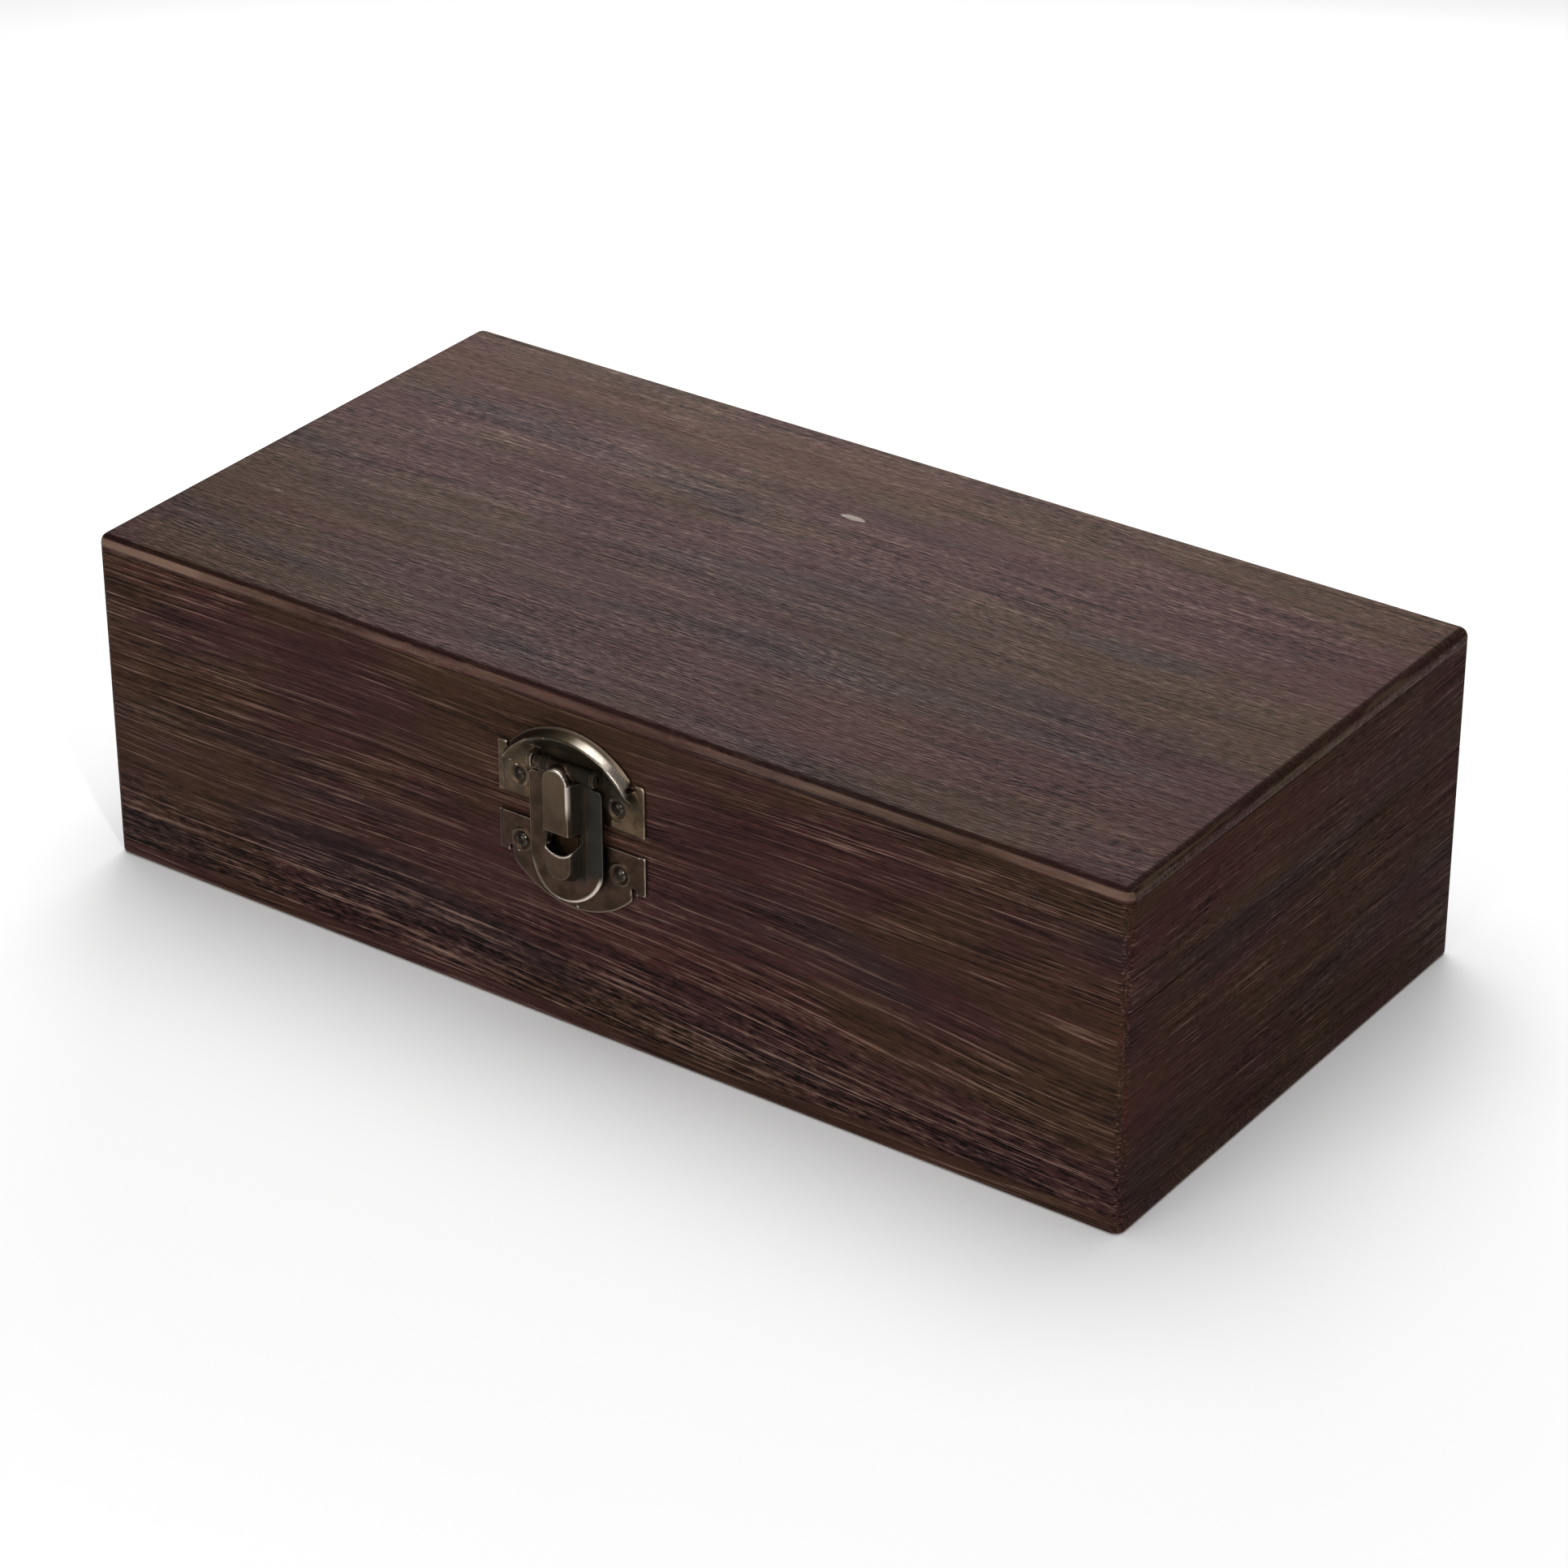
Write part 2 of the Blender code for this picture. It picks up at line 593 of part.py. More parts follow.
for side, centre in (("left", -HINGE_SPACING / 2), ("right", HINGE_SPACING / 2)):
    make_hinge(side, centre, base_walls["back"], lid_walls["back"], lid_pivot)
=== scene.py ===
import json
from math import cos, hypot, pi, radians, sin

import bmesh
import bpy
from mathutils import Matrix, Vector


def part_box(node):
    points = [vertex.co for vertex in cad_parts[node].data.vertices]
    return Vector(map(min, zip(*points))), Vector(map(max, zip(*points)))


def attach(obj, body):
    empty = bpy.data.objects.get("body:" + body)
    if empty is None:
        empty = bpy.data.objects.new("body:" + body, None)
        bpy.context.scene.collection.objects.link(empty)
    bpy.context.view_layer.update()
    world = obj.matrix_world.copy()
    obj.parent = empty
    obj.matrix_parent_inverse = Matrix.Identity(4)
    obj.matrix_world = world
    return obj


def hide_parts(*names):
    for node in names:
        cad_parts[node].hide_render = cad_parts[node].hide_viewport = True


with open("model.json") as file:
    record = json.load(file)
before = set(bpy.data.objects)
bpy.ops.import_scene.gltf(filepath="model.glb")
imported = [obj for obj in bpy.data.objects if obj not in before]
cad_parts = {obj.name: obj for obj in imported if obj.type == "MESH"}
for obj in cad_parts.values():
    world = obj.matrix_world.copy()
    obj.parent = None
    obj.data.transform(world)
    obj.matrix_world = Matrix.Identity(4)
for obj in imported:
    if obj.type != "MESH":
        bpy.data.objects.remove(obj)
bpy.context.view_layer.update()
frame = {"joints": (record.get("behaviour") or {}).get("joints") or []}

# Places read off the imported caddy
LID_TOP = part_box("lid_top_panel")
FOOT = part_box("base_bottom_panel")
LEFT, FRONT = LID_TOP[0].x, LID_TOP[0].y
RIGHT, BACK = LID_TOP[1].x, LID_TOP[1].y
TOP = LID_TOP[1].z
PANEL_UNDER = LID_TOP[0].z
FOOT_TOP = FOOT[1].z
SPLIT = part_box("base_front_board")[1].z
LID_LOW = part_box("lid_front_board")[0].z
WALL = 0.009
CORNER = 0.0025

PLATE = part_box("latch_lid_plate")
LATCH_X = (PLATE[0].x + PLATE[1].x) / 2
LATCH_Z = SPLIT - 0.0003
JOINTS = {joint["name"]: joint for joint in frame["joints"]}
PIVOT = Vector(JOINTS["hasp_pivot"]["pos_m"])
PIVOT_RISE = PIVOT.z - LATCH_Z
PIVOT_OUT = FRONT - PIVOT.y
HINGE_AXIS = Vector(JOINTS["lid_hinge"]["pos_m"])
MM = 0.001

# Latch sizes in millimetres, up from LATCH_Z
ARC = 21.6                # radius of the upper plate's arc
ARC_RISE = 1.2            # its centre
EAR_REACH = 20.1
NICK_PLACE = 16.9
NAIL_SPREAD = 13.5
NAIL_RISE = 8.0
NAIL_DROP = -8.8
HASP_FOOT = -18.3
HASP_SHOULDER = 11.2
RIDGE_FOOT = 10.8         # width where it leaves the sheet
RIDGE_FRONT = 6.8
RIDGE_ARCH = 12.2         # centre of the ridge's round top
RIDGE_END = -8.6          # centre of its round lower end
SLOT_TOP = -0.4
SLOT_CENTRE = -1.0        # centre of the slot's curved lower edge


# ---- working with pieces ----

def let_go():
    """Leave edit mode and put every piece down."""
    if bpy.context.object and bpy.context.object.mode != "OBJECT":
        bpy.ops.object.mode_set(mode="OBJECT")
    bpy.ops.object.select_all(action="DESELECT")


def hold(piece):
    let_go()
    piece.select_set(True)
    bpy.context.view_layer.objects.active = piece


def settle(piece):
    """Move a piece's place, turn and size into its mesh."""
    hold(piece)
    bpy.ops.object.transform_apply(location=True, rotation=True, scale=True)
    return piece


def named(name):
    piece = bpy.context.object
    piece.name = name
    return settle(piece)


def block(name, low, high):
    let_go()
    low, high = Vector(low), Vector(high)
    bpy.ops.mesh.primitive_cube_add(size=1, location=(low + high) / 2)
    bpy.context.object.scale = high - low
    return named(name)


def round_bar(name, middle, radius, length, turn, sides=48):
    let_go()
    bpy.ops.mesh.primitive_cylinder_add(
        vertices=sides, radius=radius, depth=length, location=middle, rotation=turn
    )
    return named(name)


def cone_bar(name, middle, radius_low, radius_high, length, turn, sides=64):
    let_go()
    bpy.ops.mesh.primitive_cone_add(
        vertices=sides, radius1=radius_low, radius2=radius_high, depth=length, location=middle, rotation=turn
    )
    return named(name)


def work_on(piece, kind="EDGE"):
    hold(piece)
    bpy.ops.object.mode_set(mode="EDIT")
    bpy.ops.mesh.select_mode(type=kind)
    bpy.ops.mesh.select_all(action="DESELECT")
    return bmesh.from_edit_mesh(piece.data)


def pick(bm, parts, test):
    for part in parts:
        if test(part):
            part.select_set(True)
    bm.select_flush_mode()
    bmesh.update_edit_mesh(bpy.context.object.data)


def same_x(edge):
    """Whether an edge has both ends at one place along the box."""
    return abs(edge.verts[0].co.x - edge.verts[1].co.x) < 1e-6


def corner_at(edge, level):
    """Whether an edge is a sheet's corner at one level: level, and running from front to back."""
    return all(abs(v.co.z - level) < 1e-6 for v in edge.verts) and same_x(edge)


def bevel(piece, test, width, segments):
    """Round the edges that pass a test."""
    bm = work_on(piece)
    pick(bm, bm.edges, test)
    bpy.ops.mesh.bevel(offset=width, offset_type="OFFSET", segments=segments, profile=0.5, affect="EDGES")
    let_go()
    return piece


def saw(piece, point, away):
    """Cut straight through and throw away the side that `away` points to."""
    work_on(piece, "FACE")
    bpy.ops.mesh.select_all(action="SELECT")
    bpy.ops.mesh.bisect(plane_co=point, plane_no=away, use_fill=True, clear_outer=True, threshold=1e-7)
    let_go()
    return piece


def combine(piece, other, how):
    """Join another shape on, or cut it away; the other shape is used up."""
    hold(piece)
    modifier = piece.modifiers.new("Shape", "BOOLEAN")
    modifier.operation = how
    modifier.solver = "EXACT"
    modifier.object = other
    bpy.ops.object.modifier_apply(modifier=modifier.name)
    bpy.data.objects.remove(other)
    return piece


def soften(piece, grain, passes):
    """Turn a sharp built-up shape into one soft pressed skin."""
    hold(piece)
    remesh = piece.modifiers.new("Skin", "REMESH")
    remesh.mode = "VOXEL"
    remesh.voxel_size = grain
    bpy.ops.object.modifier_apply(modifier=remesh.name)
    relax = piece.modifiers.new("Relax", "SMOOTH")
    relax.factor = 0.5
    relax.iterations = passes
    bpy.ops.object.modifier_apply(modifier=relax.name)
    return piece


def ease(piece, width, segments=2, angle=35):
    """A small round on every sharp edge."""
    hold(piece)
    modifier = piece.modifiers.new("Eased", "BEVEL")
    modifier.width = width
    modifier.segments = segments
    modifier.limit_method = "ANGLE"
    modifier.angle_limit = radians(angle)
    modifier.harden_normals = False
    bpy.ops.object.modifier_apply(modifier=modifier.name)
    return piece


def smooth(piece, angle=40):
    hold(piece)
    bpy.ops.object.shade_smooth_by_angle(angle=radians(angle))
    return piece


def press(piece, shape):
    """Push the sheet outwards, away from the box's front, by shape(x, up) in millimetres."""
    for vert in piece.data.vertices:
        x = (vert.co.x - LATCH_X) / MM
        up = (vert.co.z - LATCH_Z) / MM
        vert.co.y -= shape(x, up) * MM
    piece.data.update()
    return piece


def step(value, start, end):
    """0 before start, 1 after end, smooth between."""
    t = min(1, max(0, (value - start) / (end - start)))
    return t * t * (3 - 2 * t)


def deliver(piece, body, slot, materials, *nodes):
    """Give a finished piece its finish and its place in the caddy."""
    piece.data.materials.clear()
    for material in materials:
        piece.data.materials.append(material)
    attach(piece, body)
    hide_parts(*nodes)
    return piece


# ---- finishes ----

class Finish:
    """A material being mixed: a Principled shader and short ways to add nodes in front of it."""

    def __init__(self, name):
        self.material = bpy.data.materials.new(name)
        self.material.use_nodes = True
        self.tree = self.material.node_tree
        self.shader = self.tree.nodes["Principled BSDF"]

    def node(self, kind, **settings):
        made = self.tree.nodes.new(kind)
        for key, value in settings.items():
            setattr(made, key, value)
        return made

    def plug(self, socket, value):
        if isinstance(value, bpy.types.NodeSocket):
            self.tree.links.new(value, socket)
        elif value is not None:
            socket.default_value = value

    def maths(self, operation, a, b=None, c=None, clamp=False):
        made = self.node("ShaderNodeMath", operation=operation, use_clamp=clamp)
        for socket, value in zip(made.inputs, (a, b, c)):
            self.plug(socket, value)
        return made.outputs[0]

    def both(self, first, *others):
        """Masks or amounts multiplied together."""
        for other in others:
            first = self.maths("MULTIPLY", first, other)
        return first

    def ramp(self, value, low, high, to_low=0.0, to_high=1.0, kind="SMOOTHSTEP"):
        made = self.node("ShaderNodeMapRange", interpolation_type=kind)
        for socket, item in zip(made.inputs, (value, low, high, to_low, to_high)):
            self.plug(socket, item)
        return made.outputs[0]

    def blend(self, amount, a, b, how="MIX"):
        made = self.node("ShaderNodeMix", data_type="RGBA", blend_type=how)
        self.plug(made.inputs[0], amount)
        self.plug(made.inputs[6], a)
        self.plug(made.inputs[7], b)
        return made.outputs[2]

    def place(self, turn=(0, 0, 0), shift=(0, 0, 0)):
        coordinates = self.node("ShaderNodeTexCoord")
        mapping = self.node("ShaderNodeMapping", vector_type="POINT")
        self.tree.links.new(coordinates.outputs["Object"], mapping.inputs["Vector"])
        mapping.inputs["Rotation"].default_value = turn
        mapping.inputs["Location"].default_value = shift
        return mapping.outputs[0]

    def stretch(self, vector, scale):
        made = self.node("ShaderNodeVectorMath", operation="MULTIPLY")
        self.plug(made.inputs[0], vector)
        made.inputs[1].default_value = scale
        return made.outputs[0]

    def noise(self, vector, scale=1.0, detail=2.0, roughness=0.5, distortion=0.0):
        made = self.node("ShaderNodeTexNoise", noise_dimensions="3D")
        self.plug(made.inputs["Vector"], vector)
        made.inputs["Scale"].default_value = scale
        made.inputs["Detail"].default_value = detail
        made.inputs["Roughness"].default_value = roughness
        made.inputs["Distortion"].default_value = distortion
        return made.outputs["Fac"]

    def bump(self, height, strength, distance):
        made = self.node("ShaderNodeBump")
        made.inputs["Strength"].default_value = strength
        made.inputs["Distance"].default_value = distance
        self.plug(made.inputs["Height"], height)
        return made.outputs[0]

    def split(self, vector):
        made = self.node("ShaderNodeSeparateXYZ")
        self.plug(made.inputs[0], vector)
        return made.outputs

    def distance(self, x, y, middle):
        """How far (x, y) lies from (0, middle)."""
        y = self.maths("SUBTRACT", y, middle)
        return self.maths("SQRT", self.maths("MULTIPLY_ADD", x, x, self.maths("MULTIPLY", y, y)))

    def join(self, x, y, z):
        made = self.node("ShaderNodeCombineXYZ")
        for socket, value in zip(made.inputs, (x, y, z)):
            self.plug(socket, value)
        return made.outputs[0]


def burnt_wood(name, along="x", shift=(0, 0, 0), sweep=0.0, tone=1.0, strokes=1.0, dashes=0.5, low=0.0,
               flat=False, shine=0.045, dull=0.62, scorch=None, painted_light_gradient=None, marks=()):
    """Softwood burnt and wire-brushed: dark hollows, lighter ribs along the grain, cloudy stain, waxed shine.

    along is the box axis that the grain follows, and sweep drops the grain towards the lower right. strokes
    and dashes set how strongly long ribs and short ones stand out, and low adds contrast near the foot. flat
    is for a board that lies level. shine and dull are the wax's reflection and roughness. scorch gives a mask
    of charred edges. painted_light_gradient scales the colour from one place to another along axis 0 or 1:
    painted light, a painted sheen or painted shade standing in for how the lamps fall. marks paint worn
    places.
    """
    f = Finish(name)
    here = f.place((0, 0, 0) if along == "x" else (0, 0, -pi / 2), shift)
    x, y, z = f.split(here)

    # the grain wanders: its own lines are shifted across by slow noise
    wander = f.noise(f.stretch(here, (6, 16, 16)), detail=1)
    drift = f.maths("MULTIPLY", f.maths("SUBTRACT", wander, 0.5), 0.012)
    if sweep:
        run = f.ramp(x, shift[0] - 0.06, shift[0] + 0.15, 0, sweep)
        near_foot = f.ramp(z, shift[2] + 0.075, shift[2] + 0.01)
        drift = f.maths("MULTIPLY_ADD", run, near_foot, drift)
    grain = f.join(x, f.maths("ADD", y, drift), z) if flat else f.join(x, y, f.maths("ADD", z, drift))

    bands = f.noise(f.stretch(grain, (22, 420, 420)), detail=2, roughness=0.6)
    lines = f.noise(f.stretch(grain, (36, 2300, 2300)), detail=2, roughness=0.5)
    fibre = f.noise(f.stretch(grain, (120, 3600, 3600)), detail=2, roughness=0.55)
    flecks = f.noise(f.stretch(grain, (360, 1500, 1500)), detail=1, roughness=0.5)
    patch = f.noise(f.stretch(here, (20, 55, 55)), detail=2, roughness=0.6)

    # relief left by the brush, 0 in the hollows and 1 on the ribs
    relief = f.maths("MULTIPLY_ADD", bands, 0.6, f.maths("MULTIPLY", lines, 1.2 * strokes))
    relief = f.maths("MULTIPLY_ADD", fibre, 0.5, relief)
    if low:
        foot = f.ramp(z, shift[2] + 0.035, shift[2] + 0.004, 0, low)
        relief = f.maths("MULTIPLY_ADD", f.maths("SUBTRACT", flecks, 0.5), foot, relief)
    relief = f.maths("MULTIPLY_ADD", flecks, dashes, relief)
    middle = (1.1 + 1.2 * strokes + dashes) / 2
    height = f.ramp(relief, middle - 0.30, middle + 0.30, kind="LINEAR")

    # cloudy stain: purple brown, olive brown, blue black and red brown
    cloud_a = f.noise(f.stretch(here, (12, 32, 32)), detail=3, roughness=0.6)
    cloud_b = f.noise(f.stretch(here, (9, 42, 42)), detail=2, roughness=0.5, distortion=0.4)
    stain = f.blend(f.ramp(cloud_a, 0.42, 0.58), (0.0455, 0.0180, 0.0165, 1), (0.046, 0.0228, 0.0130, 1))
    stain = f.blend(f.ramp(cloud_b, 0.53, 0.68, 0, 0.65), stain, (0.024, 0.0150, 0.0168, 1))
    stain = f.blend(f.ramp(cloud_b, 0.46, 0.32, 0, 0.45), stain, (0.060, 0.0205, 0.0158, 1))
    stain = f.blend(1.0, stain, (tone, tone, tone, 1), "MULTIPLY")

    # burnt hollows, rubbed ribs, and a few ribs rubbed bright
    contrast = f.ramp(patch, 0.38, 0.62, 0.45, 1.0)
    if low:
        contrast = f.maths("ADD", contrast, foot)
    dark = f.maths("MULTIPLY", f.ramp(height, 0.50, 0.08), f.maths("MULTIPLY", contrast, 0.85, clamp=True))
    colour = f.blend(dark, stain, (0.0075, 0.0042, 0.0040, 1))
    rib = f.maths("MULTIPLY", f.ramp(height, 0.62, 1.0), f.maths("MULTIPLY", contrast, 0.42, clamp=True))
    colour = f.blend(rib, colour, (0.160 * tone, 0.090 * tone, 0.064 * tone, 1))
    bright = f.maths("MULTIPLY", f.ramp(lines, 0.59, 0.69), f.ramp(fibre, 0.38, 0.62, 0.35, 1.0))
    bright = f.maths("MULTIPLY", bright, f.maths("MULTIPLY", contrast, 0.50 * strokes, clamp=True))
    colour = f.blend(bright, colour, (0.27 * tone, 0.170 * tone, 0.130 * tone, 1))
    # painted light: the colour is scaled from one place to another, standing in for sheen or shade from the
    # lamps
    if painted_light_gradient:
        lighter = f.ramp((x, y)[painted_light_gradient[0]], *painted_light_gradient[1:])
        colour = f.blend(1.0, colour, f.join(lighter, lighter, lighter), "MULTIPLY")
    level = shine
    if scorch:
        charred = scorch(f, x, y, z)
        colour = f.blend(charred, colour, (0.0105, 0.0055, 0.0048, 1))
        level = f.maths("MULTIPLY", f.maths("SUBTRACT", 1.0, charred), shine)
    for mark in marks:
        colour = mark(f, colour, x, y, z, fibre, bands)
    f.plug(f.shader.inputs["Base Color"], colour)
    f.plug(f.shader.inputs["Specular IOR Level"], level)

    f.plug(f.shader.inputs["Roughness"], f.ramp(height, 0.1, 1.0, dull + 0.12, dull - 0.12, "LINEAR"))
    f.plug(f.shader.inputs["Normal"], f.bump(height, 0.8, 0.00025))
    return f.material


def charred_rim(f, x, y, z):
    """The lid's front and right edges, charred along the top of the round."""
    front = f.both(f.ramp(y, FRONT + 0.0020, FRONT + 0.0014), f.ramp(z, TOP - 0.0009, TOP - 0.0005))
    right = f.both(f.ramp(x, RIGHT - 0.0026, RIGHT - 0.0018), f.ramp(z, TOP - 0.0016, TOP - 0.0010))
    return f.both(f.maths("MAXIMUM", front, right), 0.7)


def chip(f, colour, x, y, z, fibre, bands):
    """A small pale chip on the lid, long with the grain."""
    across = f.maths("DIVIDE", f.maths("SUBTRACT", y, 0.0360), 0.0010)
    along = f.maths("DIVIDE", f.maths("ADD", x, 0.0027), 0.0034)
    away = f.maths("ADD", f.maths("MULTIPLY", across, across), f.maths("MULTIPLY", along, along))
    away = f.maths("MULTIPLY_ADD", f.maths("SUBTRACT", fibre, 0.5), 1.5, away)
    return f.blend(f.ramp(away, 1.15, 0.75, 0, 0.85), colour, (0.32, 0.275, 0.235, 1))


def front_edge(f, colour, x, y, z, fibre, bands):
    """The lid's rounded front edge, rubbed pale below the charred line, most at its two ends."""
    broken = f.ramp(f.maths("MULTIPLY_ADD", fibre, 0.4, bands), 0.52, 0.82)
    rise = f.ramp(z, TOP - 0.0029, TOP - 0.0024)
    fall = f.ramp(z, TOP - 0.0007, TOP - 0.0010)
    band = f.both(rise, fall, f.ramp(y, FRONT + 0.0022, FRONT + 0.0016))
    left_end = f.ramp(x, LEFT + 0.034, LEFT + 0.027, 0, 0.55)
    right_end = f.ramp(x, RIGHT - 0.038, RIGHT - 0.026, 0, 0.35)
    along = f.noise(f.join(f.maths("MULTIPLY", x, 22), 0.0, 0.0), detail=2)
    much = f.maths("ADD", f.maths("ADD", left_end, right_end), f.ramp(along, 0.35, 0.65, 0.12, 0.60))
    band = f.both(f.maths("MULTIPLY", band, much, clamp=True), f.ramp(broken, 0.0, 1.0, 0.55, 1.0))
    return f.blend(band, colour, (0.180, 0.110, 0.080, 1))


def right_edge(f, colour, x, y, z, fibre, bands):
    """Faint olive streaks on the right end of the lid's panel."""
    streak = f.noise(f.join(0.0, f.maths("MULTIPLY", y, 40), f.maths("MULTIPLY", z, 1400)), detail=2)
    streak = f.both(f.ramp(streak, 0.50, 0.62, 0, 0.5), f.ramp(x, RIGHT - 0.0014, RIGHT - 0.0006))
    return f.blend(streak, colour, (0.085, 0.062, 0.034, 1))


def foot_edge(f, colour, x, y, z, fibre, bands):
    """The foot's lower edge, rubbed a little on tables."""
    broken = f.ramp(f.maths("MULTIPLY_ADD", fibre, 0.5, bands), 0.55, 0.9, 0.15, 0.6)
    return f.blend(f.maths("MULTIPLY", f.ramp(z, 0.0014, 0.0002), broken), colour, (0.17, 0.095, 0.070, 1))


def inner_wood(name, along="x"):
    """The stained, planed faces inside and underneath."""
    f = Finish(name)
    here = f.place((0, 0, 0) if along == "x" else (0, 0, -pi / 2))
    bands = f.noise(f.stretch(here, (10, 170, 170)), detail=3, roughness=0.6, distortion=0.3)
    fibre = f.noise(f.stretch(here, (120, 2200, 2200)), detail=2)
    tone = f.maths("MULTIPLY_ADD", fibre, 0.5, f.maths("MULTIPLY", bands, 0.9))
    tone = f.ramp(tone, 0.45, 0.95, kind="LINEAR")
    colour = f.blend(tone, (0.040, 0.020, 0.013, 1), (0.115, 0.060, 0.036, 1))
    f.plug(f.shader.inputs["Base Color"], colour)
    f.plug(f.shader.inputs["Roughness"], f.ramp(fibre, 0.3, 0.7, 0.62, 0.74, "LINEAR"))
    f.shader.inputs["Specular IOR Level"].default_value = 0.3
    f.plug(f.shader.inputs["Normal"], f.bump(tone, 0.35, 0.0001))
    return f.material


def aged_bronze(name, base, rub=(0.66, 0.57, 0.46), dull=0.40, wear_and_light=None):
    """Browned bronze: cloudy olive patina, fine scuffs, and metal rubbed bright where it stands proud.

    wear_and_light is a function of the colour and place that gives the worn and grimy colour with painted
    highlights and painted shade, how far it is polished, and how far grime and painted shade cover the metal.
    """
    f = Finish(name)
    here = f.place()
    cloud = f.noise(here, scale=240, detail=4, roughness=0.62)
    speck = f.noise(here, scale=2600, detail=3, roughness=0.6)
    scuff = f.noise(f.stretch(here, (900, 900, 3600)), detail=2, roughness=0.5)
    dark = tuple(c * 0.55 for c in base)
    colour = f.blend(f.ramp(cloud, 0.35, 0.65), (*dark, 1), (*base, 1))
    colour = f.blend(f.ramp(speck, 0.60, 0.78, 0, 0.5), colour, (0.024, 0.017, 0.011, 1))
    shape = f.node("ShaderNodeNewGeometry")
    proud = f.ramp(shape.outputs["Pointiness"], 0.515, 0.565)
    proud = f.maths("MULTIPLY", proud, f.ramp(cloud, 0.25, 0.6, 0.45, 1.0))
    colour = f.blend(proud, colour, (*rub, 1))
    sunk = f.ramp(shape.outputs["Pointiness"], 0.485, 0.43, 0, 0.85)
    colour = f.blend(sunk, colour, (0.014, 0.010, 0.006, 1))
    rough = f.maths("MULTIPLY_ADD", scuff, 0.14, f.ramp(cloud, 0.3, 0.7, dull, dull - 0.12, "LINEAR"))
    rough = f.maths("MULTIPLY_ADD", proud, -0.10, rough)
    metal = 1.0
    if wear_and_light:
        colour, polish, dirt_and_shade = wear_and_light(f, colour, here)
        rough = f.maths("MULTIPLY_ADD", polish, -0.14, rough)
        rough = f.maths("MULTIPLY_ADD", dirt_and_shade, 0.20, rough)
        metal = f.maths("SUBTRACT", 1.0, dirt_and_shade)
        f.plug(f.shader.inputs["Specular IOR Level"], f.maths("MULTIPLY_ADD", dirt_and_shade, -0.5, 0.5))
    f.plug(f.shader.inputs["Base Color"], colour)
    f.plug(f.shader.inputs["Metallic"], metal)
    f.plug(f.shader.inputs["Roughness"], rough)
    height = f.maths("MULTIPLY_ADD", speck, 0.5, cloud)
    f.plug(f.shader.inputs["Normal"], f.bump(height, 0.20, 0.00010))
    return f.material


def latch_place(f, here):
    """How far across and up from the latch's middle, and how far out of the front."""
    x, y, z = f.split(here)
    across = f.maths("SUBTRACT", x, LATCH_X)
    up = f.maths("SUBTRACT", z, LATCH_Z)
    return across, up, f.maths("SUBTRACT", FRONT, y)


def upper_wear_and_light(f, colour, here):
    """The upper plate: painted highlights on the crest and the partly rubbed rim, painted shade on the
    shoulder, grime and painted shade in the dish.
    """
    across, up, _ = latch_place(f, here)
    wide = f.maths("ABSOLUTE", across)
    high = f.ramp(up, 0.0050, 0.0110)
    arc = f.distance(across, up, ARC_RISE * MM)
    # painted shade: the shoulder is darkened to a dull olive, most from just left of the middle rightwards,
    # to dim the lamps' reflection
    shoulder = f.both(f.ramp(arc, 0.0155, 0.0170), f.ramp(arc, 0.0213, 0.0210), high,
                      f.ramp(across, -0.014, -0.004, 0.3, 0.8))
    colour = f.blend(shoulder, colour, (0.036, 0.030, 0.018, 1))
    # painted highlight, partly rubbed metal: a bright band along the crest to the right of the middle
    crest = f.both(f.ramp(arc, 0.0200, 0.0204), f.ramp(arc, 0.0211, 0.0207),
                   f.ramp(across, 0.0010, 0.0075), f.ramp(across, 0.0172, 0.0158))
    colour = f.blend(f.both(crest, 0.9), colour, (0.58, 0.51, 0.43, 1))
    # rim: partly rubbed metal, partly a painted highlight, a bright line along the arc's edge in the upper
    # part
    rim = f.both(f.ramp(arc, 0.0210, 0.0213, 0, 0.7), f.ramp(wide, 0.0172, 0.0166), high)
    colour = f.blend(rim, colour, (0.22, 0.165, 0.125, 1))
    # grime and painted shade: a dark, dull colour in the dish round the hasp, more to the right
    dish = f.both(f.ramp(arc, 0.0198, 0.0172), f.ramp(up, 0.0050, 0.0100),
                  f.ramp(across, -0.008, 0.0, 0.15, 0.85))
    dirt_and_shade = f.both(dish, f.ramp(wide, 0.0165, 0.0115))
    return f.blend(dirt_and_shade, colour, (0.0125, 0.0100, 0.0050, 1)), crest, dirt_and_shade


def lower_wear_and_light(f, colour, here):
    """The lower plate: a rim partly rubbed and partly a painted highlight, and grime and painted shade round
    the catch.
    """
    across, up, _ = latch_place(f, here)
    wide = f.maths("ABSOLUTE", across)
    # rim: partly rubbed metal, partly a painted highlight along the arc's edge
    rim = f.both(f.ramp(f.distance(across, up, 0.0), 0.0214, 0.0217, 0, 0.8), f.ramp(wide, 0.0172, 0.0166))
    colour = f.blend(rim, colour, (0.24, 0.18, 0.135, 1))
    # grime and painted shade: a dark, dull brown round the catch, where it shows through the hasp's slot
    dirt_and_shade = f.both(f.ramp(wide, 0.0075, 0.0055), f.ramp(up, -0.0090, -0.0075, 0, 0.9))
    return f.blend(dirt_and_shade, colour, (0.030, 0.016, 0.0075, 1)), rim, dirt_and_shade


